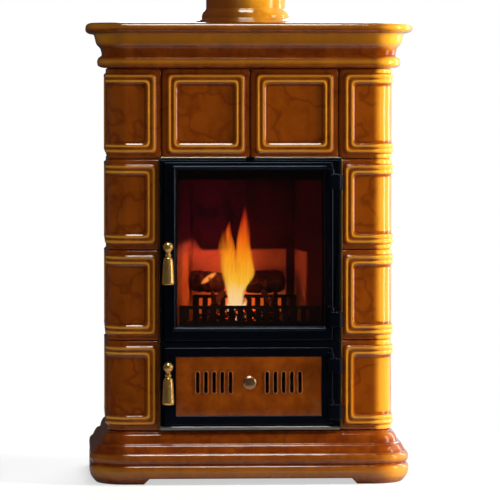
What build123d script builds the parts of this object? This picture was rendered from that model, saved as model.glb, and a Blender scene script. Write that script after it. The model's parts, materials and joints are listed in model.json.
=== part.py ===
from build123d import *
import os

# Tiled stove: an iron and steel stove body in a jacket of glazed tiles. Millimetres, +Z up, the front faces -Y.
# The origin is on the floor, under the middle of the stove.

os.makedirs("parts", exist_ok=True)

# ---------------------------------------------------------------- driving dimensions
# Tile jacket
tile_w = 205.0          # square tile, joint to joint, across a face
tile_h = 210.0          # one course of tiles, joint to joint
courses = 4             # courses of tiles between plinth and cornice
corner_leg = 125.0      # corner tile, from its joint to the panel plane of the next face
corner_r = 45.0         # panel plane's radius round a corner
tile_t = 24.0           # tile thickness behind the panel plane
tile_gap = 0.6          # open joint between two tiles
# Tile frame moulding: distance in from the joint, and height over the panel plane
arris = 2.5             # bevel at the joint
arris_drop = 2.0        # how far the joint edge lies behind the panel plane
margin_h = 1.0          # flat margin beside the joint
margin_w = 11.0
crest_at = 17.5         # outer crest of the moulding
crest_h = 6.0
ridge_at = 30.0         # inner crest of the moulding
panel_at = 39.0         # where the moulding has run out into the panel
# Plinth and cornice
plinth_h = 122.0
plinth_out = 43.0       # largest overhang past the panel plane
foot_h = 14.0           # gap under the plinth between its feet
foot_slope = 13.0       # run of a foot's slanted end
foot_step = 2.0         # its start past the joint beside it
plinth_leg = 98.0       # plinth corner piece, from its joint to the next panel plane
cornice_h = 105.0
cornice_out = 50.0
shell_t = 12.0          # wall of the hollow plinth and cornice
seat_w = 40.0           # flange of the plinth that carries tiles and base tray
ledge_w = 26.0          # flange of the cornice that carries the top slab
# Flue
flue_r = 74.5           # steel spigot, outside
flue_wall = 2.0
spigot_rise = 45.0      # spigot above the glazed collar
collar_air = 8.5        # spigot to the glazed collar round it
collar_t = 11.0
collar_h = 130.0
collar_foot = 24.0      # collar's foot past its wall
collar_ring = 7.0       # its moulded ring past its wall
# Iron front
frame_air = 3.0         # frame to the tile joint under it
frame_head = 2.0        # frame to the tile joint over it
border_lap = 3.0        # black border of the front frame over the corner tiles
border_proud = 10.5     # border's face in front of the panel plane
lap = 1.3               # back of the border in front of the panel plane, over the tile margins
web_t = 3.0             # wall of the frame between the columns
web_in = 6.5            # wall's inner face in from the border's edge
flange_t = 8.0          # sealing flange of the frame
flange_air = 1.5        # back of a shut door to the flange
trim_w = 5.0            # bright edge strip round the frame
trim_top = 7.0
trim_proud = 9.0
sill_h = 8.0
sill_t = 5.0
mid_bar = 12.0          # bar between the two doors
# Doors
door_t = 13.5
door_proud = 13.5       # door's face in front of the panel plane
door_round = 2.5
door_gap = 2.0          # gap round a door
sill_air = 3.0          # ash door over the sill strip
ash_door_h = 180.0
rail_top = 18.0         # fire door: rails and stiles round its glass
rail_bottom = 32.0
stile_latch = 27.5
stile_hinge = 18.5
lip_t = 5.0             # lip in front of the glass
rebate = 6.0            # how far the glass rebate is wider than the window
glass_t = 4.0
glass_seal_t = 1.5
strip_w = 8.0           # steel strips that hold the glass
strip_t = 2.0
bead_r = 3.0            # half-round rim bead on the fire door
rope_w = 4.5            # sealing rope in the door's back
rope_groove = 4.0
rope_free = 0.3         # rope to flange when the door is shut
# Hinges
hinge_in = 21.0         # hinge axis in from the border's edge
hinge_proud = 22.5      # hinge axis in front of the panel plane
rod_r = 4.0
eye_r = 7.5
eye_h = 12.0
eye_reach = 3.5         # edge of a door past its hinge axis
lug_h = 34.0
run_fit = 0.06          # radial clearance of a rod in its eye
stay_fit = 0.05         # radial clearance of a rod in its lug
# Handles and latches
latch_in = 17.0         # latch spindle in from the border's edge
spindle_r = 5.0
handle_len = 98.0
handle_r = 14.0         # widest part of the drop handle
handle_air = 2.0        # handle to door face
spindle_end = 10.0      # end of the spindle behind the handle's axis
tongue_half = 9.5
tongue_w = 8.0
tongue_t = 4.0
keeper_t = 2.0
latch_air = 0.3         # tongue to keeper
fire_latch_up = 218.0   # latch spindle over the door's lower edge
ash_latch_up = 136.0
# Ash door panel
panel_side = 26.5       # cast stiles beside the glazed panel, latch side
panel_hinge = 25.5
panel_rail = 21.0
panel_t = 9.0
slot_w = 7.5
slot_h = 49.0
slot_pitch = 19.0
slot_first = 42.5       # first slot from the middle of the panel
slots_each_side = 5
rim_w = 2.8             # raised rim round a slot
rim_h = 2.5
slot_up = 9.0           # slots above the middle of the panel
knob_r = 16.0
stem_r = 3.0
slide_travel = 9.5
slide_t = 2.0
slide_h = 70.0
slide_air = 0.3
# Stove body
body_in = 135.0         # flank of the body behind the flank's panel plane
sheet_t = 4.0
body_air = 0.5          # front sheet of the body behind the front tiles
body_rear = 59.5        # back of the body in front of the rear panel plane
body_drop = 57.0        # top of the body under the tile jacket's top
bed_under = 14.0        # fire bed under the window
bed_t = 8.0
brick_t = 24.0
brick_under = 27.0      # top of the linings under the window's top
fire_front_in = 4.0     # linings beside the window, at the front
fire_taper = 46.0       # how much further in they stand at the rear
rear_gap = 68.0         # rear lining in front of the body's back
baffle_t = 22.0
smoke_gap = 108.0       # way up in front of the baffle
grate_half_w = 70.0
grate_in = 103.0        # grate behind the body's front
grate_len = 140.0
bar_pitch = 21.0
bar_gap = 8.0
fence_t = 6.0
front_fence_in = 15.0   # front fence behind the body's front
front_fence_h = 52.0
rear_fence_in = 38.0    # rear fence in front of the rear lining
rear_fence_h = 62.0
fence_end = 3.0         # end of a fence to the lining beside it
tray_t = 4.0
seat_air = 0.3          # a loose piece to its seat
ash_half_w = 125.0
ash_box_h = 82.0
ash_box_len = 286.0
ash_wall = 2.0
runner_h = 20.0
runner_w = 16.0
runner_t = 3.0
post_leg = 40.0
post_t = 3.0
levelling_r = 6.0
levelling_pad_r = 18.0

# ---------------------------------------------------------------- places worked out from them
half_w = tile_w + corner_leg                    # panel plane of a flank
half_d = tile_w / 2 + corner_leg                # panel plane of the front and of the back
jacket_z0 = plinth_h
jacket_z1 = jacket_z0 + courses * tile_h
top_z = jacket_z1 + cornice_h
corner_x = half_w - corner_r
corner_y = half_d - corner_r
front_y = -half_d
front_top = jacket_z1 - tile_h                  # joint over the iron front
front_half_w = tile_w + border_lap
hinge_x = front_half_w - hinge_in
latch_x = latch_in - front_half_w

border_y = front_y - border_proud
door_face = front_y - door_proud
door_back = door_face + door_t
flange_y0 = door_back + flange_air
flange_y1 = flange_y0 + flange_t
hinge_y = front_y - hinge_proud
handle_y = door_face - handle_air - handle_r

frame_z0 = jacket_z0 + frame_air
frame_z1 = front_top - frame_head
ash_z0 = frame_z0 + sill_h + sill_air
ash_z1 = ash_z0 + ash_door_h
mid_z0 = ash_z1 + door_gap
mid_z1 = mid_z0 + mid_bar
fire_z0 = mid_z1 + door_gap
fire_z1 = frame_z1 - web_t - door_gap
web_out = front_half_w - web_in                 # inner faces of the frame's walls
door_x0 = door_gap - web_out
door_x1 = hinge_x + eye_reach
fire_latch_z = fire_z0 + fire_latch_up
ash_latch_z = ash_z0 + ash_latch_up

window_x0 = door_x0 + stile_latch
window_x1 = door_x1 - stile_hinge
window_z0 = fire_z0 + rail_bottom
window_z1 = fire_z1 - rail_top
panel_x0 = door_x0 + panel_side
panel_x1 = door_x1 - panel_hinge
panel_z0 = ash_z0 + panel_rail
panel_z1 = ash_z1 - panel_rail
panel_mid = (panel_x0 + panel_x1) / 2
slot_z = (panel_z0 + panel_z1) / 2 + slot_up

body_half_w = half_w - body_in
body_y0 = front_y + tile_t + body_air
body_y1 = half_d - body_rear
body_z0 = jacket_z0 + tray_t
body_z1 = jacket_z1 - body_drop
bed_z = window_z0 - bed_under
brick_top = window_z1 - brick_under
fire_front_half = window_x1 - fire_front_in
fire_rear_half = fire_front_half - fire_taper
fire_rear_y = body_y1 - rear_gap
grate_y0 = body_y0 + grate_in
grate_y1 = grate_y0 + grate_len
front_fence_y = body_y0 + front_fence_in
rear_fence_y = fire_rear_y - rear_fence_in
collar_r = flue_r + collar_air + collar_t
collar_foot_r = collar_r + collar_foot
collar_ring_r = collar_r + collar_ring
collar_z1 = top_z + collar_h
spigot_z1 = collar_z1 + spigot_rise


# ---------------------------------------------------------------- shapes used throughout
# Where one of them cuts, it runs a millimetre past what it cuts.
def block(x0, x1, y0, y1, z0, z1):
    """A square-edged block between two corners."""
    return Pos(x0, y0, z0) * Box(x1 - x0, y1 - y0, z1 - z0, align=(Align.MIN,) * 3)


def post(r, x, y, z0, z1):
    """An upright cylinder."""
    return Pos(x, y, z0) * Cylinder(r, z1 - z0, align=(Align.CENTER, Align.CENTER, Align.MIN))


def spindle(r, x, y0, y1, z):
    """A cylinder that runs front to back."""
    return Pos(x, y0, z) * Rot(-90, 0, 0) * Cylinder(r, y1 - y0, align=(Align.CENTER, Align.CENTER, Align.MIN))


def outline(start, *steps):
    """A closed face: a step is a point for a line, or (via, end) for an arc."""
    edges = []
    here = start
    for step in steps:
        if isinstance(step[0], tuple):
            edges.append(ThreePointArc(here, *step))
            here = step[1]
        else:
            edges.append(Line(here, step))
            here = step
    edges.append(Line(here, start))
    return make_face(edges)


def turned(section):
    """A section of (radius, height) turned round the upright axis."""
    return revolve(Plane.XZ * section, axis=Axis.Z)


def front_run(section, x0, x1):
    """A section of (distance past the panel plane, height) run along the front."""
    length = x1 - x0
    return Pos(x1, front_y, 0) * Rot(0, 0, -90) * extrude(Plane.XZ * section, amount=length)


def side_run(section, y0, y1):
    """The same along the right flank."""
    return Pos(half_w, y0, 0) * extrude(Plane.XZ * section, amount=y1 - y0, dir=(0, 1, 0))


def corner_run(section, leg):
    """The same round the front right corner, with a straight leg each way."""
    face = Plane.XZ * (Pos(corner_r, 0) * section)
    bend = Rot(0, 0, -90) * revolve(face, axis=Axis.Z, revolution_arc=90)
    front = Rot(0, 0, -90) * extrude(face, amount=leg)
    side = extrude(face, amount=leg, dir=(0, 1, 0))
    return Pos(corner_x, -corner_y, 0) * (front + bend + side)


def left_of(piece):
    return mirror(piece, about=Plane.YZ)


def rear_of(piece):
    return mirror(piece, about=Plane.XZ)


def save(name, *pieces):
    """One node: its pieces as separate solids."""
    solids = [solid for piece in pieces for solid in piece.solids()]
    export_step(solids[0] if len(solids) == 1 else Compound(label=name, children=solids), f"parts/{name}.step")


# ---------------------------------------------------------------- tiles
# A tile rises from its joint over a margin to the crest of a frame moulding, then falls into a flat panel. The rise
# is what two long mouldings, one upright and one level, have in common, so the frame is mitred at its corners.
def rise(length, back):
    """Section across a whole tile: distance along it, and height over the panel plane."""
    return outline((0, -back), (0, -arris_drop), (arris, margin_h), (margin_w, margin_h), (crest_at, crest_h),
                   (length - crest_at, crest_h), (length - margin_w, margin_h), (length - arris, margin_h),
                   (length, -arris_drop), (length, -back))


def sunk(length):
    """Section of what is taken out to leave the panel."""
    clear = 2 * crest_h
    reach = 2 * ridge_at - panel_at
    return outline((reach, clear), (panel_at, 0), (length - panel_at, 0), (length - reach, clear))


def swap(section):
    """Turn (distance, height) into (height, distance)."""
    return mirror(section, about=Plane((0, 0, 0), x_dir=(1, 1, 0), z_dir=(1, -1, 0)))


def flat_tile(width, height):
    """A flat tile: x along it, its panel plane at y = 0 and its back towards +y, z up."""
    level = extrude(Plane.XY * (mirror(rise(width, tile_t), about=Plane.XZ)), amount=height)
    upright = Rot(0, 0, -90) * extrude(Plane.XZ * swap(rise(height, tile_t)), amount=-width)
    cut_level = extrude(Plane.XY * (mirror(sunk(width), about=Plane.XZ)), amount=height)
    cut_upright = Rot(0, 0, -90) * extrude(Plane.XZ * swap(sunk(height)), amount=-width)
    return (level & upright) - (cut_level & cut_upright)


def corner_tile(height):
    """A rounded corner tile at z = 0, its legs running to the front and the side joints."""
    leg = corner_leg - corner_r - tile_gap / 2
    inner = corner_r - tile_t
    crest = corner_r + crest_h
    clear = crest + crest_h
    reach = 2 * ridge_at - panel_at
    margin = corner_r + margin_h
    leg_rise = outline((0, inner), (0, crest), (leg - crest_at, crest), (leg - margin_w, margin),
                       (leg - arris, margin), (leg, corner_r - arris_drop), (leg, inner))
    leg_sunk = outline((0, corner_r), (0, clear), (leg - reach, clear), (leg - panel_at, corner_r))
    level = both_legs(leg_rise, height) + sector(inner, crest, height)
    cut_level = both_legs(leg_sunk, height) + sector(corner_r, clear, height)
    upright = corner_run(swap(rise(height, tile_t)), leg)
    cut_upright = corner_run(swap(sunk(height)), leg)
    here = Pos(corner_x, -corner_y, 0)
    return (here * level & upright) - (here * cut_level & cut_upright)


def both_legs(plan, height):
    """A plan of (distance along a leg, distance from the corner's centre) stood up on both legs."""
    front = Plane((0, 0, 0), x_dir=(-1, 0, 0), z_dir=(0, 0, 1)) * plan
    side = Plane((0, 0, 0), x_dir=(0, 1, 0), z_dir=(0, 0, -1)) * plan
    return extrude(front, amount=height, dir=(0, 0, 1)) + extrude(side, amount=height, dir=(0, 0, 1))


def sector(r0, r1, height):
    """A quarter ring round the front right corner's centre."""
    ring = outline((r0, 0), (r1, 0), (r1, height), (r0, height))
    return Rot(0, 0, -90) * revolve(Plane.XZ * ring, axis=Axis.Z, revolution_arc=90)


course_h = tile_h - tile_gap
course_z = [jacket_z0 + tile_gap / 2 + n * tile_h for n in range(courses)]
one_corner = corner_tile(course_h)
column = [Pos(0, 0, z) * one_corner for z in course_z]
save("front_right_corner_tiles", *column)
save("front_left_corner_tiles", *[left_of(tile) for tile in column])
save("rear_right_corner_tiles", *[rear_of(tile) for tile in column])
save("rear_left_corner_tiles", *[rear_of(left_of(tile)) for tile in column])

square = flat_tile(tile_w - tile_gap, course_h)
side_square = Pos(half_w, -tile_w / 2 + tile_gap / 2, 0) * Rot(0, 0, 90) * square
flank = [Pos(0, 0, z) * side_square for z in course_z]
save("side_tiles_right", *flank)
save("side_tiles_left", *[left_of(tile) for tile in flank])

over_door = Pos(0, front_y, course_z[-1]) * square
save("front_tile_right", Pos(tile_gap / 2, 0, 0) * over_door)
save("front_tile_left", Pos(tile_gap / 2 - tile_w, 0, 0) * over_door)


# ---------------------------------------------------------------- cornice, plinth and top slab
def cornice_section():
    """Bullnose, slanting fascia, cove and torus, hollow behind, with a ledge for the top slab."""
    z = jacket_z1
    top = z + cornice_h
    nose = 12.0
    tip = cornice_out - nose
    torus_out = 22.0
    neck = 10.0
    return outline(
        (-ledge_w, z), (neck, z), (torus_out - 2, z + 5), (torus_out, z + 15), (torus_out - 3, z + 24),
        (neck, z + 30), (13, z + 46), (24, z + 57), (29, top - 2 * nose - 1), (tip, top - 2 * nose),
        (tip + 8, top - 2 * nose + 3), ((cornice_out, top - nose), (tip + 8, top - 3)), (tip, top),
        (shell_t - ledge_w, top), (shell_t - ledge_w, top - shell_t - 1), (-ledge_w, top - shell_t - 1),
        (-ledge_w, top - 2 * shell_t - 1), (16, top - 2 * shell_t - 1), (-2, z + 46), (-2, z + shell_t),
        (-ledge_w, z + shell_t))


def plinth_section():
    """Cove, small torus, groove and large torus, hollow behind, with a seat for the tiles."""
    z = plinth_h
    return outline(
        (-seat_w, z), (-1, z), (-1, z - 4), (10, z - 15), (19, z - 32), (24, z - 32), (33, z - 41), (34, z - 56),
        (37, z - 58), ((plinth_out, 40), (36, 14)), (27, 0), (15, 0), (27, 34), (10, z - 44),
        (-6, z - shell_t), (-seat_w, z - shell_t))


cornice = cornice_section()
cornice_end = half_w - corner_leg - tile_gap / 2
cornice_side_end = half_d - corner_leg - tile_gap / 2
cornice_corner = corner_run(cornice, corner_leg - corner_r - tile_gap / 2)
cornice_right = side_run(cornice, -cornice_side_end, cornice_side_end)
cornice_front = front_run(cornice, -cornice_end, cornice_end)
save("cornice_corners", cornice_corner, left_of(cornice_corner), rear_of(cornice_corner),
     rear_of(left_of(cornice_corner)))
save("cornice_side_right", cornice_right)
save("cornice_side_left", left_of(cornice_right))
save("cornice_front", cornice_front)
save("cornice_rear", rear_of(cornice_front))

plinth = plinth_section()
plinth_end = half_w - plinth_leg - tile_gap / 2
plinth_side_end = half_d - plinth_leg - tile_gap / 2
reach = plinth_out + seat_w + 2
lifted = block(-half_w - reach, half_w + reach, -half_d - reach, half_d + reach, -1, foot_h)
foot_end = outline((0, 0), (foot_step + foot_slope, 0), (foot_step, foot_h), (0, foot_h))
front_cut = Pos(plinth_end, 0, 0) * extrude(Plane.XZ * foot_end, amount=2 * half_d, both=True)
side_cut = Pos(0, -plinth_side_end, 0) * Rot(0, 0, -90) * extrude(Plane.XZ * foot_end, amount=2 * half_w, both=True)
plinth_corner = corner_run(plinth, plinth_leg - corner_r - tile_gap / 2)
plinth_corner -= front_cut & block(0, half_w + reach, -half_d - reach, -corner_y, 0, foot_h)
plinth_corner -= side_cut & block(corner_x, half_w + reach, -half_d, 0, 0, foot_h)
plinth_right = side_run(plinth, -plinth_side_end, plinth_side_end) - lifted
plinth_front = front_run(plinth, -plinth_end, plinth_end) - lifted
save("plinth_corners", plinth_corner, left_of(plinth_corner), rear_of(plinth_corner),
     rear_of(left_of(plinth_corner)))
save("plinth_side_right", plinth_right)
save("plinth_side_left", left_of(plinth_right))
save("plinth_front", plinth_front)
save("plinth_rear", rear_of(plinth_front))


def plate(inset, z0, z1):
    """A level plate with the jacket's rounded plan, set in from the panel plane."""
    plan = RectangleRounded(2 * (half_w - inset), 2 * (half_d - inset), corner_r - inset)
    return Pos(0, 0, z0) * extrude(plan, amount=z1 - z0)


slab_inset = ledge_w - shell_t + seat_air
slab_z0 = top_z - shell_t - 1 + seat_air
slab = plate(slab_inset, slab_z0, top_z - seat_air) - post(collar_r - collar_t, 0, 0, slab_z0 - 1, top_z + 1)
save("top_slab", slab)

# ---------------------------------------------------------------- flue
collar = turned(outline(
    (collar_r - collar_t, 0), (collar_foot_r, 0), (collar_foot_r, 5), (collar_ring_r + 3, 12),
    ((collar_ring_r + 2, 22), (collar_r, 34)), (collar_r, collar_h - 3), (collar_r - 3, collar_h),
    (collar_r - collar_t, collar_h)))
save("flue_collar", Pos(0, 0, top_z) * collar)

spigot_flange = 14.0
stop_bead = 2.5         # rolled bead that the flue pipe comes down to
spigot = turned(outline(
    (flue_r - flue_wall, body_z1), (flue_r + spigot_flange, body_z1), (flue_r + spigot_flange, body_z1 + sheet_t),
    (flue_r, body_z1 + sheet_t), (flue_r, collar_z1 - stop_bead), (flue_r + stop_bead, collar_z1 - stop_bead),
    (flue_r + stop_bead, collar_z1), (flue_r, collar_z1), (flue_r, spigot_z1), (flue_r - flue_wall, spigot_z1)))
save("flue_spigot", spigot)

# ---------------------------------------------------------------- base tray, levelling feet, tile frame
tray_inset = tile_t + tile_gap
vent_w = 40.0
vent_x = (body_half_w + half_w - tile_t) / 2
vent_y = half_d - corner_leg
tray = plate(tray_inset, jacket_z0, jacket_z0 + tray_t)
for x in (-vent_x, vent_x):
    tray -= block(x - vent_w / 2, x + vent_w / 2, -vent_y, vent_y, jacket_z0 - 1, jacket_z0 + tray_t + 1)
save("base_tray", tray)

pad_h = 8.0
foot_in = seat_w + levelling_pad_r + 10
foot_x = half_w - foot_in
foot_y = half_d - foot_in
levelling = extrude(RegularPolygon(levelling_pad_r, 6), amount=pad_h) + post(levelling_r, 0, 0, pad_h, jacket_z0)
save("levelling_feet", *[Pos(x, y, 0) * levelling for x in (-foot_x, foot_x) for y in (-foot_y, foot_y)])

post_near = tile_t + 0.4     # posts behind the tiles
post_short = 6.0             # posts under the cornice


def bevelled(inset):
    """The jacket's plan, set in from the panel plane, with flats for its rounded corners."""
    plan = Rectangle(2 * (half_w - inset), 2 * (half_d - inset))
    return chamfer(plan.vertices(), corner_r - inset - post_t)


posts_z0 = jacket_z0 + tray_t
posts_z1 = jacket_z1 - post_short
post_out = Pos(0, 0, posts_z0) * extrude(bevelled(post_near), amount=posts_z1 - posts_z0)
post_out -= Pos(0, 0, posts_z0) * extrude(bevelled(post_near + post_t), amount=posts_z1 - posts_z0)
corner_post = post_out & block(corner_x - post_leg, half_w, front_y, post_leg - corner_y, posts_z0, posts_z1)
hoop_h = 30.0
tile_frame = corner_post + left_of(corner_post) + rear_of(corner_post) + rear_of(left_of(corner_post))
for z in (posts_z0, front_top + 10, posts_z1 - hoop_h):
    hoop = Pos(0, 0, z) * (extrude(bevelled(post_near + post_t), amount=hoop_h)
                           - extrude(bevelled(post_near + 2 * post_t), amount=hoop_h))
    if z < body_z1:
        hoop -= block(-body_half_w - 1, body_half_w + 1, -half_d, -corner_y, z, z + hoop_h)
    tile_frame += hoop
strap_z = (posts_z0 + hoop_h - post_t, posts_z1 - hoop_h - body_drop)
strap_half = 15.0
strap_y = 60.0
strap_x1 = half_w - post_near - post_t - 1
for z in strap_z:
    for y in (-strap_y, strap_y):
        strap = block(body_half_w, strap_x1, y - strap_half, y + strap_half, z, z + post_t)
        tile_frame += strap + left_of(strap)
hanger_x = half_w - post_near - post_t
hanger = block(hanger_x - post_t, hanger_x, -strap_y - strap_half, strap_y + strap_half, strap_z[1], posts_z1)
tile_frame += hanger + left_of(hanger)
save("tile_frame", tile_frame)

# ---------------------------------------------------------------- rear cover
cover_air = 0.7         # cover to the tiles beside it
cover_sunk = 10.0       # cover behind the tiles' panels
cover_t = 2.0
cover_half = tile_w - tile_gap / 2 - cover_air
cover_y = half_d - cover_sunk
cover_z0 = jacket_z0 + tray_t + seat_air
cover_z1 = jacket_z1 - seat_air
cover_depth = cover_y - (half_d - post_near - post_t)
cover = block(-cover_half, cover_half, cover_y - cover_depth, cover_y, cover_z0, cover_z1)
cover -= block(-cover_half + cover_t, cover_half - cover_t, cover_y - cover_depth, cover_y - cover_t,
               cover_z0 + cover_t, cover_z1 - cover_t)
louvre_w = 130.0
louvre_h = 8.0
louvre_pitch = 24.0
louvre_rows = 5
louvre_x = 95.0
louvre_edge = 60.0
louvre_span = louvre_pitch * (louvre_rows - 1)
for x in (-louvre_x, louvre_x):
    for first in (cover_z0 + louvre_edge, cover_z1 - louvre_edge - louvre_span):
        for row in range(louvre_rows):
            z = first + row * louvre_pitch
            cover -= block(x - louvre_w / 2, x + louvre_w / 2, cover_y - cover_t - 1, cover_y + 1,
                           z - louvre_h / 2, z + louvre_h / 2)
save("rear_cover", cover)

screw_r = 5.0
screw_head = 3.0
screw_in = 14.0
screw_up = 20.0
screw = Rot(-90, 0, 0) * extrude(RegularPolygon(screw_r, 6), amount=screw_head)
cover_screws = []
for x in (screw_in - cover_half, cover_half - screw_in):
    for z in (cover_z0 + screw_up, (cover_z0 + cover_z1) / 2, cover_z1 - screw_up):
        cover_screws.append(Pos(x, cover_y, z) * screw)
save("rear_cover_screws", *cover_screws)

# ---------------------------------------------------------------- stove body
# Its two doorways, as x0, x1, z0, z1: a little wider than the window, and a little narrower than the glazed panel.
fire_wider = 4.0
ash_in = 8.0
fire_half = window_x1 + fire_wider
fire_open = (-fire_half, fire_half, window_z0 - fire_wider, window_z1 + fire_wider)
ash_open = (panel_x0 + ash_in, panel_x1 - ash_in, panel_z0 - 9, panel_z1 + 7)
shelf = 6.0
throat_t = 3.0


def sheet(x, y, z):
    """One sheet of the body between limits along each axis."""
    return block(x[0], x[1], y[0], y[1], z[0], z[1])


inner_x = (sheet_t - body_half_w, body_half_w - sheet_t)
inner_y = (body_y0 + sheet_t, body_y1 - sheet_t)
body_z = (body_z0, body_z1)
sides = [sheet((-body_half_w, inner_x[0]), (body_y0, body_y1), body_z)]
sides.append(left_of(sides[0]))
back_sheet = sheet(inner_x, (inner_y[1], body_y1), body_z)
floor_sheet = sheet(inner_x, inner_y, (body_z0, body_z0 + sheet_t))
top_sheet = sheet(inner_x, inner_y, (body_z1 - sheet_t, body_z1))
top_sheet -= post(flue_r - flue_wall, 0, 0, body_z1 - sheet_t - 1, body_z1 + 1)
front_sheet = sheet(inner_x, (body_y0, inner_y[0]), body_z)
for x0, x1, z0, z1 in (fire_open, ash_open):
    front_sheet -= block(x0, x1, body_y0 - 1, inner_y[0] + 1, z0, z1)

# Strips that the fire bed rests on, and the collars that join the body's doorways to the iron front.
shelf_z = (bed_z - sheet_t, bed_z)
shelf_side = sheet((inner_x[0], inner_x[0] + shelf), inner_y, shelf_z)
shelf_ends = [sheet((inner_x[0] + shelf, inner_x[1] - shelf), y, shelf_z)
              for y in ((inner_y[0], inner_y[0] + shelf), (inner_y[1] - shelf, inner_y[1]))]
collars = []
for x0, x1, z0, z1 in (fire_open, ash_open):
    depth = (flange_y1, body_y0)
    for x in ((x0 - throat_t, x0), (x1, x1 + throat_t)):
        collars.append(sheet(x, depth, (z0 - throat_t, z1 + throat_t)))
    for z in ((z0 - throat_t, z0), (z1, z1 + throat_t)):
        collars.append(sheet((x0, x1), depth, z))
save("inner_body", *sides, back_sheet, floor_sheet, top_sheet, front_sheet, shelf_side, left_of(shelf_side),
     *shelf_ends, *collars)

inside_x = body_half_w - sheet_t - seat_air
inside_y0 = body_y0 + sheet_t + seat_air
inside_y1 = body_y1 - sheet_t - seat_air
bed = block(-inside_x, inside_x, inside_y0, inside_y1, bed_z, bed_z + bed_t)
bed -= block(-grate_half_w, grate_half_w, grate_y0, grate_y1, bed_z - 1, bed_z + bed_t + 1)
rest = 6.0              # ledge that carries the grate
rest_t = 3.0
bed += (block(-grate_half_w - 1, grate_half_w + 1, grate_y0 - 1, grate_y1 + 1, bed_z - rest_t, bed_z)
        - block(-grate_half_w + rest, grate_half_w - rest, grate_y0 + rest, grate_y1 - rest, bed_z - 4, bed_z + 1))
save("bed_plate", bed)

grate_air = 0.5
grate_over = 4.0        # grate over the bed plate
grate_bar = 9.0
grate = block(grate_air - grate_half_w, grate_half_w - grate_air, grate_y0 + grate_air, grate_y1 - grate_air, bed_z,
              bed_z + bed_t + grate_over)
grate_slots = int((2 * grate_half_w - 2 * rest) // (bar_gap + grate_bar))
for n in range(grate_slots):
    x = (n - (grate_slots - 1) / 2) * (bar_gap + grate_bar)
    grate -= block(x - bar_gap / 2, x + bar_gap / 2, grate_y0 + 2 * rest, grate_y1 - 2 * rest, bed_z - 1,
                   bed_z + bed_t + grate_over + 1)
save("grate", grate)

# The side linings run inwards from the fire door to the rear lining.
lining_z0 = bed_z + bed_t
lining_mid = (lining_z0 + brick_top) / 2
side_y0 = inside_y0
side_y1 = fire_rear_y
side_plan = Polyline((fire_front_half, side_y0), (fire_front_half + brick_t - 1, side_y0),
                     (fire_rear_half + brick_t, side_y1), (fire_rear_half, side_y1), close=True)
brick_rows = ((lining_z0, lining_mid - seat_air), (lining_mid + seat_air, brick_top))
side_lining = [Pos(0, 0, z0) * extrude(make_face(side_plan), amount=z1 - z0) for z0, z1 in brick_rows]
save("right_firebricks", *side_lining)
save("left_firebricks", *[left_of(brick) for brick in side_lining])

rear_half = fire_rear_half + brick_t
rear_y = fire_rear_y + 0.5
save("rear_firebricks", *[
    block(x0, x1, rear_y, rear_y + brick_t, z0, z1)
    for x0, x1 in ((-rear_half, -seat_air), (seat_air, rear_half)) for z0, z1 in brick_rows])

save("baffle_plate", block(-inside_x, inside_x, body_y0 + smoke_gap, fire_rear_y + brick_t, brick_top + seat_air,
                           brick_top + seat_air + baffle_t))


def fence(half, y, height):
    """A cast fence with upright gaps and a rounded top rail."""
    rail = 8.0
    z0 = lining_z0
    z1 = z0 + height
    wall = block(-half, half, y - fence_t / 2, y + fence_t / 2, z0, z1)
    count = int((2 * half - 2 * rail) // bar_pitch)
    for n in range(count):
        x = (n - (count - 1) / 2) * bar_pitch
        wall -= block(x - bar_gap / 2, x + bar_gap / 2, y - fence_t, y + fence_t, z0 + 2 * rail, z1 - rail)
    return chamfer(wall.edges().filter_by(Axis.X).group_by(Axis.Z)[-1], 2.0)


def lining_half(y):
    """Inner face of the side lining at a depth."""
    share = (y - side_y0) / (side_y1 - side_y0)
    return fire_front_half + share * (fire_rear_half - fire_front_half)


for name, y, height in (("front", front_fence_y, front_fence_h), ("rear", rear_fence_y, rear_fence_h)):
    save(f"{name}_fence", fence(lining_half(y) - fence_end, y, height))

# ---------------------------------------------------------------- ash box
ash_y0 = inside_y0 + 4
ash_y1 = ash_y0 + ash_box_len
ash_floor = body_z0 + sheet_t + runner_h
runner_x1 = ash_half_w + 6
runner_x0 = runner_x1 - runner_w
runner_z0 = body_z0 + sheet_t
runner_z1 = ash_floor - seat_air
runner = block(runner_x0, runner_x1, ash_y0, ash_y1, runner_z0, runner_z1)
runner -= block(runner_x0 - 1, runner_x1 - runner_t, ash_y0 - 1, ash_y1 + 1, runner_z0 - 1, runner_z1 - runner_t)
save("ash_box_runners", runner, left_of(runner))

ash_z_top = ash_floor + ash_box_h
box = block(-ash_half_w, ash_half_w, ash_y0, ash_y1, ash_floor, ash_z_top)
box -= block(-ash_half_w + ash_wall, ash_half_w - ash_wall, ash_y0 + ash_wall, ash_y1 - ash_wall,
             ash_floor + ash_wall, ash_z_top + 1)
pull_half = 45.0
pull_z = ash_floor + ash_box_h / 2
pull_h = 16.0
pull_t = 2.5
pull_out = 14.0
pull = block(-pull_half, pull_half, ash_y0 - pull_out, ash_y0, pull_z, pull_z + pull_h)
pull -= block(-pull_half + pull_t, pull_half - pull_t, ash_y0 - pull_out + pull_t, ash_y0 + 1, pull_z - 1,
              pull_z + pull_h + 1)
save("ash_box", box + pull)

# ---------------------------------------------------------------- front frame
web_x1 = web_out + web_t
right_in = door_x1 + 1.0
slot_x0 = latch_x - 7.0     # hole in the flange for a latch's tongue
slot_x1 = latch_x + 6.0
slot_half = tongue_half + 2.5
lug_nose = 7.0
rod_under = 3.0             # hinge rod under its lower lug
rod_over = 10.0             # and over its upper eye


def ring(x, z, width, y0, y1):
    """An upright rectangular ring: x and z are its outer limits."""
    return (block(x[0], x[1], y0, y1, z[0], z[1])
            - block(x[0] + width, x[1] - width, y0 - 1, y1 + 1, z[0] + width, z[1] - width))


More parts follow.
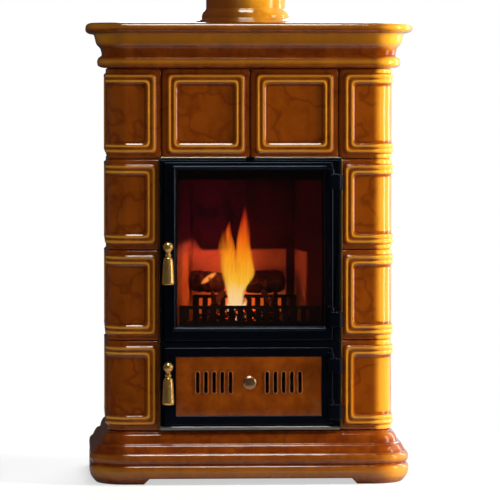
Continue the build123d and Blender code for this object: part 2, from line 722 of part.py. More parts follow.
flange = block(-web_x1, web_x1, flange_y0, flange_y1, frame_z0, frame_z1 + 1)
border = block(-front_half_w, front_half_w, border_y, front_y - lap, frame_z0, frame_z1)
web = block(-web_x1, web_x1, front_y - lap, flange_y0, frame_z0, frame_z1)
frame = border + web + flange
frame -= block(-web_out, right_in, border_y - 1, flange_y0, ash_z0 - door_gap, mid_z0)
frame -= block(-web_out, right_in, border_y - 1, flange_y0, mid_z1, fire_z1 + door_gap)
frame -= block(-web_out, right_in, border_y - 1, flange_y0, frame_z0 + sill_h, ash_z0)
for x0, x1, z0, z1 in (fire_open, ash_open):
    frame -= block(x0, x1, flange_y0 - 1, flange_y1 + 1, z0, z1)
for z in (fire_latch_z, ash_latch_z):
    frame -= block(slot_x0, slot_x1, flange_y0 - 1, flange_y1 + 1, z - slot_half, z + slot_half)

lug_right = front_half_w + trim_w
lug_plan = outline(
    (hinge_x, hinge_y + eye_r), ((hinge_x - eye_r, hinge_y), (hinge_x, hinge_y - eye_r)),
    (lug_right - lug_nose, hinge_y - eye_r), (lug_right, hinge_y - eye_r + lug_nose),
    (lug_right, border_y), (right_in + 1, border_y), (right_in + 1, hinge_y + eye_r))
fire_lugs = (window_z0, window_z1 - 44.0)
ash_lugs = (ash_z0 + 14.0, ash_z1 - 59.0)
for z in fire_lugs + ash_lugs:
    frame += Pos(0, 0, z) * extrude(lug_plan, amount=lug_h)
    frame -= post(rod_r + stay_fit, hinge_x, hinge_y, z - 1, z + lug_h + 1)
save("front_frame", frame)

trim_y = front_y - trim_proud
trim_plan = Pos(0, (frame_z0 + frame_z1 + trim_top) / 2) * RectangleRounded(
    2 * (front_half_w + trim_w), frame_z1 + trim_top - frame_z0, trim_top)
trim = Pos(0, front_y - lap, 0) * extrude(Plane.XZ * trim_plan, amount=trim_proud - lap)
trim -= block(-front_half_w, front_half_w, trim_y - 1, front_y, frame_z0 - 1, frame_z1)
save("frame_edge_trim", trim)

sill = block(-front_half_w, front_half_w, border_y - sill_t, border_y, frame_z0, frame_z0 + sill_h)
save("sill_strip", fillet(sill.edges().filter_by(Axis.X).group_by(Axis.Y)[0], 2.0))

# The clip over the middle of the frame, and a small screw at each of its corners.
clip_half = 10.0
clip_t = 3.0
clip = block(-clip_half, clip_half, border_y - clip_t, border_y, frame_z1 - web_t + 0.5, frame_z1 + trim_top)
clip = chamfer(clip.edges().filter_by(Axis.Z).group_by(Axis.Y)[0], clip_t / 2)
frame_screws = [clip]
corner_screw_r = 3.2
corner_screw_t = 1.5
corner_screw = Rot(-90, 0, 0) * extrude(RegularPolygon(corner_screw_r, 6), amount=corner_screw_t)
corner_screw_x = front_half_w - corner_screw_r - 0.4
for x in (-corner_screw_x, corner_screw_x):
    for z in (frame_z0 + 16, frame_z1 - 6):
        frame_screws.append(Pos(x, border_y - corner_screw_t, z) * corner_screw)
save("frame_fasteners", *frame_screws)

for name, (low, high) in (("fire", fire_lugs), ("ash", ash_lugs)):
    rod = post(rod_r, hinge_x, hinge_y, low - rod_under, high + lug_h + eye_h + rod_over)
    save(f"{name}_hinge_rod", fillet(rod.edges().filter_by(GeomType.CIRCLE).sort_by(Axis.Z)[-1], rod_r - 1))

keepers = []
keeper_half = slot_half + 6
for z in (fire_latch_z, ash_latch_z):
    keeper = block(slot_x0 - 2.5, slot_x1 + 4.0, flange_y1, flange_y1 + keeper_t, z - keeper_half, z + keeper_half)
    keepers.append(keeper - block(slot_x0, slot_x1, flange_y1 - 1, flange_y1 + keeper_t + 1, z - slot_half,
                                  z + slot_half))
save("latch_keepers", *keepers)


# ---------------------------------------------------------------- what both doors have
def eyes(lug_zs):
    """Hinge eyes over the frame's lugs, webbed to the door's face."""
    made = []
    r = eye_r - 0.5
    for z in lug_zs:
        z0 = z + lug_h + seat_air
        eye = post(r, hinge_x, hinge_y, z0, z0 + eye_h)
        eye += block(hinge_x - r, door_x1, hinge_y, door_face + 0.5, z0, z0 + eye_h)
        made.append(eye)
    return made


def door_slab(z0, z1, lug_zs, latch_z):
    """A door's plate with its eyes, its latch hole and the groove for its rope."""
    slab = block(door_x0, door_x1, door_face, door_back, z0, z1)
    slab = fillet(slab.edges().group_by(Axis.Y)[0], door_round)
    for eye in eyes(lug_zs):
        slab += eye
        slab -= post(rod_r + run_fit, hinge_x, hinge_y, z0 - 1, z1 + 1)
    slab -= spindle(spindle_r + run_fit, latch_x, door_face - 1, door_back + 1, latch_z)
    rope_x, rope_z = rope_line(z0, z1)
    return slab - ring(rope_x, rope_z, rope_w, door_back - rope_groove, door_back + 1)


def rope_line(z0, z1):
    """Outer limits of a door's sealing rope."""
    return (latch_x + spindle_r + 1.5, door_x1 - 4.0), (z0 + 5.0, z1 - 5.0)


def rope(z0, z1):
    rope_x, rope_z = rope_line(z0, z1)
    return ring(rope_x, rope_z, rope_w, door_back - rope_groove, flange_y0 - rope_free)


def drop_handle(z):
    """A turned brass drop: cap, neck, bead and a body that flares downwards."""
    cap = 11.0
    foot = cap - handle_len
    drop = turned(outline(
        (0, cap), (6, 10), (11.5, 3), (10.5, -5), (5, -13), (8, -19), (5.5, -23), (11, -31), (handle_r, foot + 4),
        (handle_r - 3, foot), (0, foot)))
    return Pos(latch_x, handle_y, z) * drop


def latch(z):
    """Spindle and turn-button tongue."""
    y_tongue = flange_y1 + keeper_t + latch_air
    rod = spindle(spindle_r, latch_x, handle_y + spindle_end, y_tongue + tongue_t, z)
    tongue = block(latch_x - tongue_w / 2, latch_x + tongue_w / 2, y_tongue, y_tongue + tongue_t, z - tongue_half,
                   z + tongue_half)
    return rod + tongue


for name, z in (("fire", fire_latch_z), ("ash", ash_latch_z)):
    handle = drop_handle(z)
    shaft = latch(z)
    save(f"{name}_handle", handle - shaft)
    save(f"{name}_latch", shaft)

# ---------------------------------------------------------------- fire door
fire_door = door_slab(fire_z0, fire_z1, fire_lugs, fire_latch_z)
fire_door -= block(window_x0, window_x1, door_face - 1, door_back + 1, window_z0, window_z1)
rebate_x = (window_x0 - rebate, window_x1 + rebate)
rebate_z = (window_z0 - rebate, window_z1 + rebate)
fire_door -= block(*rebate_x, door_face + lip_t, door_back + 1, *rebate_z)
bead_in = 6.0
for z in (window_z0 - bead_in, window_z1 + bead_in):
    length = hinge_x - eye_r - 5 - (window_x0 - bead_in)
    bar = Pos(window_x0 - bead_in, door_face, z) * Rot(0, 90, 0) * Cylinder(
        bead_r, length, align=(Align.CENTER, Align.CENTER, Align.MIN))
    fire_door += bar & block(-half_w, half_w, door_face - bead_r - 1, door_face + 1, 0, top_z)
upright = post(bead_r, window_x0 - bead_in, door_face, window_z0 - bead_in, window_z1 + bead_in)
fire_door += upright & block(-half_w, half_w, door_face - bead_r - 1, door_face + 1, 0, top_z)
save("fire_door_frame", fire_door)

glass_air = 1.0
glass_x = (rebate_x[0] + glass_air, rebate_x[1] - glass_air)
glass_z = (rebate_z[0] + glass_air, rebate_z[1] - glass_air)
seal_y0 = door_face + lip_t
glass_y0 = seal_y0 + glass_seal_t
save("fire_glass_seal", ring(glass_x, glass_z, rebate - glass_air, seal_y0, glass_y0))
save("fire_door_glass", block(*glass_x, glass_y0, glass_y0 + glass_t, *glass_z))
strip_y = glass_y0 + glass_t
strips = [block(*rebate_x, strip_y, strip_y + strip_t, rebate_z[0], rebate_z[0] + strip_w),
          block(*rebate_x, strip_y, strip_y + strip_t, rebate_z[1] - strip_w, rebate_z[1])]
for x0 in (rebate_x[0], rebate_x[1] - strip_w):
    strips.append(block(x0, x0 + strip_w, strip_y, strip_y + strip_t, rebate_z[0] + strip_w + 0.5,
                        rebate_z[1] - strip_w - 0.5))
save("fire_glass_strips", *strips)
save("fire_door_seal", rope(fire_z0, fire_z1))

# ---------------------------------------------------------------- ash door
ash_door = door_slab(ash_z0, ash_z1, ash_lugs, ash_latch_z)
step = 3.5              # rebate for the glazed panel
step_y = door_face + 7.0
ash_door -= block(panel_x0, panel_x1, door_face - 1, door_back + 1, panel_z0, panel_z1)
ash_door -= block(panel_x0 - step, panel_x1 + step, step_y, door_back + 1, panel_z0 - step, panel_z1 + step)
save("ash_door_frame", ash_door)
save("ash_door_seal", rope(ash_z0, ash_z1))

panel_air = 0.5
panel_y = door_face + 1.0
glazed = block(panel_x0 + panel_air, panel_x1 - panel_air, panel_y, panel_y + panel_t, panel_z0 + panel_air,
               panel_z1 - panel_air)
glazed = chamfer(glazed.edges().group_by(Axis.Y)[0], 2.5)
glazed += block(panel_x0 - step + panel_air, panel_x1 + step - panel_air, step_y + seat_air, panel_y + panel_t,
                panel_z0 - step + panel_air, panel_z1 + step - panel_air)
slot_xs = [panel_mid + side * (slot_first + n * slot_pitch) for side in (-1, 1) for n in range(slots_each_side)]
for x in slot_xs:
    here = Pos(x, panel_y, slot_z) * Rot(90, 0, 0) * Rot(0, 0, 90)
    rim = extrude(SlotOverall(slot_h + 2 * rim_w, slot_w + 2 * rim_w), amount=rim_h)
    glazed += here * rim
    glazed -= Pos(0, panel_t + 1, 0) * here * extrude(SlotOverall(slot_h, slot_w), amount=panel_t + rim_h + 2)

# The register's stem comes through a short slot, as long as its travel.
stem_z = slot_z
stem_x = panel_mid + 1.5
stem_way = stem_r + 0.5
glazed -= block(stem_x - stem_way, stem_x + stem_way + slide_travel, panel_y - 1, panel_y + panel_t + 1,
                stem_z - stem_way, stem_z + stem_way)
save("ash_tile", glazed)

slide_y = panel_y + panel_t + slide_air
slide_side = 15.0
slide_x0 = slot_xs[slots_each_side - 1] - slot_w / 2 - slide_side
slide_x1 = slot_xs[-1] + slot_w / 2 + slide_side
slide = block(slide_x0, slide_x1, slide_y, slide_y + slide_t, slot_z - slide_h / 2, slot_z + slide_h / 2)
for x in slot_xs:
    slide -= block(x - slot_w / 2, x + slot_w / 2, slide_y - 1, slide_y + slide_t + 1, slot_z - slot_h / 2,
                   slot_z + slot_h / 2)
save("air_slide", slide)

knob_len = 16.0
knob_base = panel_y - 0.5
knob = Pos(stem_x, knob_base, stem_z) * Rot(90, 0, 0) * revolve(
    Plane.XZ * outline((0, 0), (9, 0), (8, 5), (knob_r - 1, 8), (knob_r, 11), (knob_r - 4, knob_len - 1.5),
                       (5, knob_len), (0, knob_len)), axis=Axis.Z)
knob += spindle(stem_r, stem_x, knob_base, slide_y, stem_z)
save("air_knob", knob)

guide_lip = 3.0
guide_lip_t = 1.2
guide_h = 5.0
guide_x = (ash_open[0] + 2, ash_open[1] - 2)
guide_y = slide_y + slide_t + slide_air
guide_z = slot_z + slide_h / 2 + slide_air
guide = block(*guide_x, panel_y + panel_t, guide_y, guide_z, guide_z + guide_h)
guide += block(*guide_x, guide_y, guide_y + guide_lip_t, guide_z - guide_lip, guide_z + guide_h)
save("ash_slide_guides", guide, mirror(guide, about=Plane.XY.offset(slot_z)))
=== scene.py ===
import json
import math

import bmesh
import bpy
from mathutils import Matrix, Vector, noise

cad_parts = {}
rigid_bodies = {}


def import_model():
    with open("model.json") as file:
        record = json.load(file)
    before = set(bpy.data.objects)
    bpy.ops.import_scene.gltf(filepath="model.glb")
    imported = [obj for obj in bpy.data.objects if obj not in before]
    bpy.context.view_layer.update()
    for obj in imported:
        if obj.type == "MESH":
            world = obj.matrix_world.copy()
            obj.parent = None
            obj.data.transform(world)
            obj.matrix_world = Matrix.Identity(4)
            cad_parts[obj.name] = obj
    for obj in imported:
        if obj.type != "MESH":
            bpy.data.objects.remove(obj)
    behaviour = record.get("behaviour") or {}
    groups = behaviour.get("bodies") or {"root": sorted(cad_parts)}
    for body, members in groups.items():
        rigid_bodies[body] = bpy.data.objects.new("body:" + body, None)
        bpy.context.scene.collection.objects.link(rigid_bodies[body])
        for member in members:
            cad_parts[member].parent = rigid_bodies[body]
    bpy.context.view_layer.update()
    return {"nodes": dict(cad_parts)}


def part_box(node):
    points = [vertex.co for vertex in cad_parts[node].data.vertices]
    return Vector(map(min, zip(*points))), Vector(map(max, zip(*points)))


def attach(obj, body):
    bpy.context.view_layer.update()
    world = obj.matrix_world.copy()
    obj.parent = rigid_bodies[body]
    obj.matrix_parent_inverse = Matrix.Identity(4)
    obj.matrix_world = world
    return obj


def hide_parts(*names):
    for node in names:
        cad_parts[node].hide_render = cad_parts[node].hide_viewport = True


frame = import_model()

# ================================================================ Camera
# A long lens a little left of the stove's middle, level with the foot of its cornice. The shift puts the stove
# where the photograph has it.
yaw, pitch = math.radians(2.469), math.radians(-2.459)
look = Vector((math.sin(yaw) * math.cos(pitch), math.cos(yaw) * math.cos(pitch), math.sin(pitch)))
lens = bpy.data.cameras.new("camera")
lens.lens, lens.shift_x, lens.shift_y, lens.clip_end = 261.69, 0.03, -0.06, 100
camera = bpy.data.objects.new("camera", lens)
camera.location = (-0.3972, -8.6194, 0.9717)
camera.rotation_euler = look.to_track_quat("-Z", "Y").to_euler()
bpy.context.scene.collection.objects.link(camera)
bpy.context.scene.camera = camera


# ================================================================ Base tray, feet and tile frame
# A folded tray of sheet steel, plain and a little dulled, on four screwed feet. It carries the whole stove, and the
# angle posts and hoops of the tile frame rise from it.
class Wire:
    """One socket of a node tree. Sums on it add Math nodes, and node() adds any other node."""

    def __init__(self, tree, socket=None):
        self.tree, self.socket = tree, socket

    def node(self, kind, sockets=(), out=0, **settings):
        made = self.tree.nodes.new(kind)
        for name, value in settings.items():
            if name == "stops":
                stops = made.color_ramp.elements
                stops[0].position, stops[0].color = value[0]
                stops[1].position, stops[1].color = value[-1]
                for at, colour in value[1:-1]:
                    stops.new(at).color = colour
            elif name == "curve":
                points = made.mapping.curves[0].points
                points[0].location, points[1].location = value[0], value[-1]
                for at in value[1:-1]:
                    points.new(*at)
                for point in points:
                    point.handle_type = "AUTO_CLAMPED"
                made.mapping.update()
            else:
                setattr(made, name, value)
        for name, value in dict(sockets).items():
            if isinstance(value, Wire):
                self.tree.links.new(value.socket, made.inputs[name])
            else:
                made.inputs[name].default_value = value
        return Wire(self.tree, made.outputs[out])

    def maths(self, operation, *others):
        return self.node("ShaderNodeMath", {0: self, **dict(enumerate(others, 1))}, operation=operation)

    def into(self, socket):
        self.tree.links.new(self.socket, socket)

    def __add__(self, other):
        return self.maths("ADD", other)

    def __sub__(self, other):
        return self.maths("SUBTRACT", other)

    def __rsub__(self, other):
        return (self * -1.0).maths("ADD", other)

    def __mul__(self, other):
        return self.maths("MULTIPLY", other)

    def __truediv__(self, other):
        return self.maths("DIVIDE", other)

    __radd__, __rmul__ = __add__, __mul__

    def ramp(self, low, high):
        """0 below low, 1 above high, eased between."""
        return self.node("ShaderNodeMapRange", {"Value": self, "From Min": low, "From Max": high},
                         interpolation_type="SMOOTHSTEP")

    def clamp(self, low=0.0, high=1.0):
        return self.node("ShaderNodeClamp", {"Value": self, "Min": low, "Max": high})

    def axis(self, name):
        return self.node("ShaderNodeSeparateXYZ", {0: self}, out=name)

    def attribute(self, name):
        """A layer of the piece's mesh, from any wire of its material."""
        return self.node("ShaderNodeAttribute", out="Fac", attribute_name=name)

    def noise(self, scale, detail=2.0, rough=0.5, stretch=(1, 1, 1)):
        place = self.node("ShaderNodeMapping", {"Vector": self, "Scale": stretch})
        return place.node("ShaderNodeTexNoise", {"Vector": place, "Scale": scale, "Detail": detail,
                                                 "Roughness": rough}, out="Fac")

    def between(self, a, b):
        """Colour a where this is 0 and colour b where it is 1."""
        return self.node("ShaderNodeMix", {0: self, 6: a, 7: b}, out=2, data_type="RGBA")

    def bump(self, depth, strength=1.0):
        return self.node("ShaderNodeBump", {"Height": self, "Distance": depth, "Strength": strength})


def paint(code):
    """A screen colour, as written on a card, in Blender's linear values."""
    parts = [int(code[n:n + 2], 16) / 255 for n in (0, 2, 4)]
    return (*[c / 12.92 if c < 0.04 else ((c + 0.055) / 1.055) ** 2.4 for c in parts], 1.0)


def finish(name, **constants):
    """A material, with what is the same all over it, its shader's sockets, and the place on the piece."""
    made = bpy.data.materials.new(name)
    made.use_nodes = True
    shader = made.node_tree.nodes["Principled BSDF"].inputs
    for socket, value in constants.items():
        shader[socket.replace("_", " ")].default_value = value
    return made, shader, Wire(made.node_tree).node("ShaderNodeTexCoord", out="Object")


def coat(material, *names):
    """The CAD nodes of those names keep their shape and take the material."""
    for name in names:
        slots = frame["nodes"][name].data.materials
        slots.clear()
        slots.append(material)


plain_steel, shader, place = finish("plain steel", Metallic=1.0)
grain = place.noise(260, 3, 0.6, (1, 1, 0.06))
patches = place.noise(7, 4, 0.6)
patches.between(paint("8d8f8f"), paint("b9bab8")).into(shader["Base Color"])
(0.26 + 0.2 * patches + 0.12 * grain).into(shader["Roughness"])
grain.bump(0.0002, 0.5).into(shader["Normal"])
coat(plain_steel, "base_tray", "tile_frame", "levelling_feet")

# ================================================================ Stove body
# A welded box of black painted sheet with a shelf for the fire bed. The flue spigot, rolled from the same steel,
# stands on its top by a flange.
painted_steel, shader, place = finish("black stove paint", Specular_IOR_Level=0.25)
dust = place.noise(9, 5, 0.65)
grit = place.noise(900, 2)
dust.between(paint("161617"), paint("2b2a29")).into(shader["Base Color"])
(0.5 + 0.22 * dust).into(shader["Roughness"])
grit.bump(0.0001, 0.35).into(shader["Normal"])
coat(painted_steel, "inner_body", "flue_spigot")

# ================================================================ Fire bed, grate and linings
# Pale pressed firebrick round the fire, black with soot above the flames, by the door and in the right corner. The
# bed, the grate and the two fences that keep the logs in are rough iron, burnt black and dark brown in patches.
firebrick, shader, place = finish("sooted firebrick with painted glow", Specular_IOR_Level=0.08)
height, across, depth = place.axis("Z"), place.axis("X"), place.axis("Y")
blotch = place.noise(11, 4, 0.62)
speck = place.noise(420, 2, 0.7)
soot_line, left_face, right_face, rear_face = 0.527, -0.1285, 0.109, 0.1
# Over the flames the soot fades in over a taller band on the left: a painted glow of the fire on the upper left wall.
painted_glow_on_left = 1 - across.ramp(-0.128, -0.095)
soot_over_flames_and_painted_glow = (height + 0.012 * blotch).ramp(soot_line, soot_line + 0.009 + 0.034 * painted_glow_on_left)
by_the_door = (1 - (depth + 0.06 * blotch).ramp(-0.03, 0.05)) * across.ramp(0.0, 0.02)
in_the_corner = (across + 0.01 * blotch).ramp(right_face - 0.007, right_face) * depth.ramp(
    rear_face - 0.0005, rear_face + 0.0004)
smoked = soot_over_flames_and_painted_glow.maths("MAXIMUM", by_the_door).maths("MAXIMUM", in_the_corner)
thin_soot = 0.45 * (across + 0.05 * blotch).ramp(0.03, 0.09) + 0.3 * (1 - across.ramp(left_face, left_face + 0.002))
soot = smoked.maths("MAXIMUM", thin_soot)
clean = (0.6 * speck + 0.6 * blotch).ramp(0.35, 0.8).between(paint("7d5c3a"), paint("b89058"))
# The soot's red-purple tint is painted firelight; the soot itself is black.
black = blotch.ramp(0.42, 0.62).between(paint("2a0a16"), paint("140812"))
soot.between(clean, black).into(shader["Base Color"])
(0.85 - 0.25 * soot).into(shader["Roughness"])
(speck + blotch).bump(0.0012, 0.6).into(shader["Normal"])
coat(firebrick, "left_firebricks", "right_firebricks", "rear_firebricks", "baffle_plate")

burnt_iron, shader, place = finish("burnt cast iron", Specular_IOR_Level=0.4)
scale_marks = place.noise(35, 5, 0.6)
scale_marks.between(paint("0d0a0c"), paint("1f1614")).into(shader["Base Color"])
(0.55 + 0.3 * scale_marks).into(shader["Roughness"])
place.noise(600, 3, 0.6).bump(0.0005, 0.6).into(shader["Normal"])
coat(burnt_iron, "bed_plate", "grate", "front_fence", "rear_fence")

# ================================================================ Ash box
# A folded box of plain sheet steel with a pull at its front. It stands on two steel runners under the grate, and
# comes out to the front once the ash door is open.
coat(plain_steel, "ash_box", "ash_box_runners")


# ================================================================ Iron front
# One black-enamelled casting with a border that laps over the tiles; a folded bright strip edges it, and
# the doors' rods stand in its lugs.
def piece(name, mesh, body, slot=None, *stands_for):
    """A finished piece: its mesh lies where it belongs, it rides on a body and stands for CAD nodes."""
    made = bpy.data.objects.new(name, mesh)
    bpy.context.scene.collection.objects.link(made)
    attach(made, body)
    if stands_for:
        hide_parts(*stands_for)
    return made


def settled(made):
    """The plain mesh that a linked object gives, with its modifiers or its bevel; the object goes."""
    bpy.context.view_layer.update()
    mesh = bpy.data.meshes.new_from_object(made.evaluated_get(bpy.context.evaluated_depsgraph_get()))
    source = made.data
    bpy.data.objects.remove(made)
    bpy.data.batch_remove([source])
    return mesh


def softened(node, width, material, body, slot, steps=2):
    """A casting in place of a CAD node: the node's own faces, with its edges rounded."""
    work = bmesh.new()
    work.from_mesh(frame["nodes"][node].data)
    bmesh.ops.remove_doubles(work, verts=work.verts, dist=2e-6)
    bmesh.ops.dissolve_limit(work, angle_limit=math.radians(1.5), verts=work.verts, edges=work.edges)
    mesh = bpy.data.meshes.new(node)
    work.to_mesh(mesh)
    work.free()
    mesh.materials.clear()
    mesh.materials.append(material)
    mesh.shade_smooth()
    made = bpy.data.objects.new("casting", mesh)
    bpy.context.scene.collection.objects.link(made)
    edges = made.modifiers.new("rounded edges", "BEVEL")
    edges.width, edges.segments, edges.angle_limit = width, steps, math.radians(25)
    edges.use_clamp_overlap = False
    even = made.modifiers.new("even normals", "WEIGHTED_NORMAL")
    even.weight, even.keep_sharp = 100, False
    piece(node + "_rounded", settled(made), body, slot, node)


def joined(work, rings):
    """Faces from each closed ring of points to the next."""
    for a, b in zip(rings, rings[1:]):
        for n in range(len(a)):
            m = (n + 1) % len(a)
            work.faces.new((a[n], a[m], b[m], b[n]))


def finished(work, name, material, sharp=None):
    """The work's mesh, faces outward and smoothly shaded, but for folds of more than so many degrees."""
    bmesh.ops.recalc_face_normals(work, faces=work.faces)
    mesh = bpy.data.meshes.new(name)
    work.to_mesh(mesh)
    work.free()
    mesh.materials.append(material)
    mesh.shade_smooth()
    if sharp:
        mesh.set_sharp_from_angle(angle=math.radians(sharp))
    return mesh


def swept(name, path, up, material):
    """A closed section run along stations of (point, outward, section), with its ends closed."""
    work = bmesh.new()
    glaze_and_light_layer = work.verts.layers.float.new("relief")
    rings = []
    for point, outward, section in path:
        ring = []
        for out, rise, relief in section:
            vert = work.verts.new(Vector(point) + Vector(outward) * out + Vector(up) * rise)
            vert[glaze_and_light_layer] = relief
            ring.append(vert)
        rings.append(ring)
    joined(work, rings)
    for ring in (rings[0], rings[-1]):
        work.faces.new(ring)
    return finished(work, name, material, 50)


# The specular tint colours the enamel's reflections blue: a painted reflection of bluish light.
black_enamel, shader, place = finish("black enamel", IOR=1.5, Specular_IOR_Level=0.32,
                                     Specular_Tint=(0.45, 0.66, 1.0, 1.0))
cloud = place.noise(14, 3)
cloud.between(paint("030408"), paint("0a0c14")).into(shader["Base Color"])
(0.14 + 0.12 * place.noise(60, 3)).into(shader["Roughness"])
(place.noise(170, 3, 0.55) + 0.5 * place.noise(30, 2)).bump(0.0006, 0.35).into(shader["Normal"])

edge_brass, shader, place = finish("edge metal with painted tile reflection", Metallic=1.0)
tarnish = place.noise(40, 4, 0.6)
side = tarnish.between(paint("8a6a36"), paint("b48e50"))
# The strip's sides are golden and its top is grey: the golden sides are a painted reflection of the tiles.
place.axis("Z").ramp(0.742, 0.752).between(side, paint("a3a08c")).into(shader["Base Color"])
(0.24 + 0.2 * tarnish).into(shader["Roughness"])
place.noise(400, 2).bump(0.0002, 0.4).into(shader["Normal"])

softened("front_frame", 0.0012, black_enamel, "stove", "black_iron")

# The edge strip: up the left side, round two small bends and down the right side.
low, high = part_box("frame_edge_trim")
strip_w, strip_bend, strip_round, bend_steps = 0.005, 0.007, 0.0014, 8
deep, cut = high[1] - low[1], strip_round * 0.3
strip = [(-strip_w, 0, 0), (-strip_w, deep - strip_round, 0), (-strip_w + cut, deep - cut, 0),
         (-strip_w + strip_round, deep, 0), (-strip_round, deep, 0), (-cut, deep - cut, 0),
         (0, deep - strip_round, 0), (0, 0, 0)]
stations = [((low[0], high[1], low[2]), (-1, 0, 0), strip)]
for side, centre_x in ((-1, low[0] + strip_bend), (1, high[0] - strip_bend)):
    for n in range(bend_steps + 1):
        turn = math.pi / 2 * (n / bend_steps if side < 0 else 1 - n / bend_steps)
        outward = (side * math.cos(turn), 0, math.sin(turn))
        at = (centre_x + strip_bend * outward[0], high[1], high[2] - strip_bend + strip_bend * outward[2])
        stations.append((at, outward, strip))
stations.append(((high[0], high[1], low[2]), (1, 0, 0), strip))
piece("edge_strip", swept("edge_strip", stations, (0, -1, 0), edge_brass), "stove", "edge_brass", "frame_edge_trim")
coat(black_enamel, "fire_hinge_rod", "ash_hinge_rod", "latch_keepers", "frame_fasteners")
coat(plain_steel, "sill_strip")


# ================================================================ Plinth
# Eight hollow mouldings of glazed earthenware, a cove over a slope and two tori, cut away underneath between the
# feet. The four corner pieces stand on the floor and carry the straight ones.
def glaze(name, thick, mid, thin, veins=0.45, left=None):
    """Transparent honey glaze over a light body: dark where it has pooled, light where it runs thin. The same layer
    also carries painted light and painted shade. left is its colour on the left of a round piece: painted shade on
    the side away from the light."""
    made, shader, place = finish(name, IOR=1.56)
    relief = place.attribute("relief")
    cloud = place.noise(17, 4, 0.6)
    streak = place.noise(55, 3, 0.6, (1, 1, 0.35))
    pooled = (cloud + 0.35 * streak + 0.25 * place.attribute("batch")).ramp(0.45, 1.0)
    run = (place.noise(12, 2.5, 0.5) - 0.5).maths("ABSOLUTE").ramp(0.0, 0.045)
    body = pooled.between(paint(thick), paint(mid))
    body = (1 - veins + veins * run).between(paint("581c06"), body)
    body = relief.ramp(-0.9, -0.1).between(paint("521d07"), body)
    body = relief.ramp(0.15, 1.0).between(body, paint(thin))
    if left:
        body = place.axis("X").ramp(-0.055, 0.035).between(paint(left), body)
    body.into(shader["Base Color"])
    (0.07 + 0.07 * cloud).into(shader["Roughness"])
    pits = place.attribute("pitted") * place.noise(190, 2)
    (place.noise(23, 2) + 0.16 * place.noise(140, 3) + 0.5 * pits).bump(0.004, 0.22).into(shader["Normal"])
    return made


honey = glaze("honey glaze", "6e2c04", "8e4408", "e29c2c")


def worn(points, shares=(0.16, 0.25)):
    """A closed line with each corner cut at a share of its sides, once for each share."""
    for share in shares:
        cut = []
        for a, b in zip(points, points[1:] + points[:1]):
            cut.append(tuple(p + (q - p) * share for p, q in zip(a, b)))
            cut.append(tuple(q + (p - q) * share for p, q in zip(a, b)))
        points = cut
    return points


half_w, half_d, corner_r = 0.330, 0.2275, 0.045
joint, dry_joint = 0.0003, 0.00008
pits_past_panel, pits_from, pits_over = 0.02, 0.10, 0.03


def moulded(kind, section, corner_leg, thin, stops=((0, 0),), thin_elsewhere=0.08, bend_steps=24):
    """The four corner pieces and four straight pieces of a moulding, in place of their CAD nodes. section gives
    the closed line of (past the panel plane, height, glaze and painted light) over a lowest height, and stops are the
    lowest heights of a corner piece at distances in from its ends; a straight piece keeps the first of them. thin is
    the painted light on the front right bend, which lightens its glaze where the lamp falls. The bends' glaze is
    pitted."""
    leg = corner_leg - corner_r - dry_joint
    end_x, end_y = half_w - corner_leg - dry_joint, half_d - corner_leg - dry_joint
    whole = section(0)
    corners = bmesh.new()
    for side_x in (-1, 1):
        for side_y in (-1, 1):
            cx, cy = side_x * (half_w - corner_r), side_y * (half_d - corner_r)
            path = [((cx - side_x * (leg - at), side_y * half_d, 0), (0, side_y, 0), section(low)) for at, low in stops]
            for n in range(bend_steps + 1):
                a = math.pi / 2 * n / bend_steps
                outward = Vector((side_x * math.sin(a), side_y * math.cos(a), 0))
                # The front right bend's glaze is lightened most: painted light where the lamp falls. The other bends
                # only run thinner.
                bend_glaze_and_light = (thin if side_x > 0 > side_y else thin_elsewhere) * math.sin(2 * a) ** 1.2
                path.append((Vector((cx, cy, 0)) + corner_r * outward, outward,
                             [(out, rise, relief + bend_glaze_and_light) for out, rise, relief in whole]))
            path += [((side_x * half_w, cy - side_y * (leg - at), 0), (side_x, 0, 0), section(low))
                     for at, low in reversed(stops)]
            mesh = swept("corner", path, (0, 0, 1), honey)
            corners.from_mesh(mesh)
            bpy.data.meshes.remove(mesh)
    pitted = corners.verts.layers.float.new("pitted")
    for vert in corners.verts:
        inset = half_w + pits_past_panel - abs(vert.co.x), half_d + pits_past_panel - abs(vert.co.y)
        vert[pitted] = math.prod(max(0.0, min(1.0, (pits_from - far) / pits_over)) for far in inset)
    mesh = bpy.data.meshes.new(kind + "_corner_mouldings")
    corners.to_mesh(mesh)
    corners.free()
    mesh.materials.append(honey)
    piece(kind + "_corner_mouldings", mesh, "stove", "glaze", kind + "_corners")
    line = section(stops[0][1])
    for node, a, b, outward in (
            ("front", (-end_x, -half_d, 0), (end_x, -half_d, 0), (0, -1, 0)),
            ("rear", (end_x, half_d, 0), (-end_x, half_d, 0), (0, 1, 0)),
            ("side_left", (-half_w, end_y, 0), (-half_w, -end_y, 0), (-1, 0, 0)),
            ("side_right", (half_w, -end_y, 0), (half_w, end_y, 0), (1, 0, 0))):
        mesh = swept(f"{kind}_{node}_moulding", [(a, outward, line), (b, outward, line)], (0, 0, 1), honey)
        piece(f"{kind}_{node}_moulding", mesh, "stove", "glaze", f"{kind}_{node}")


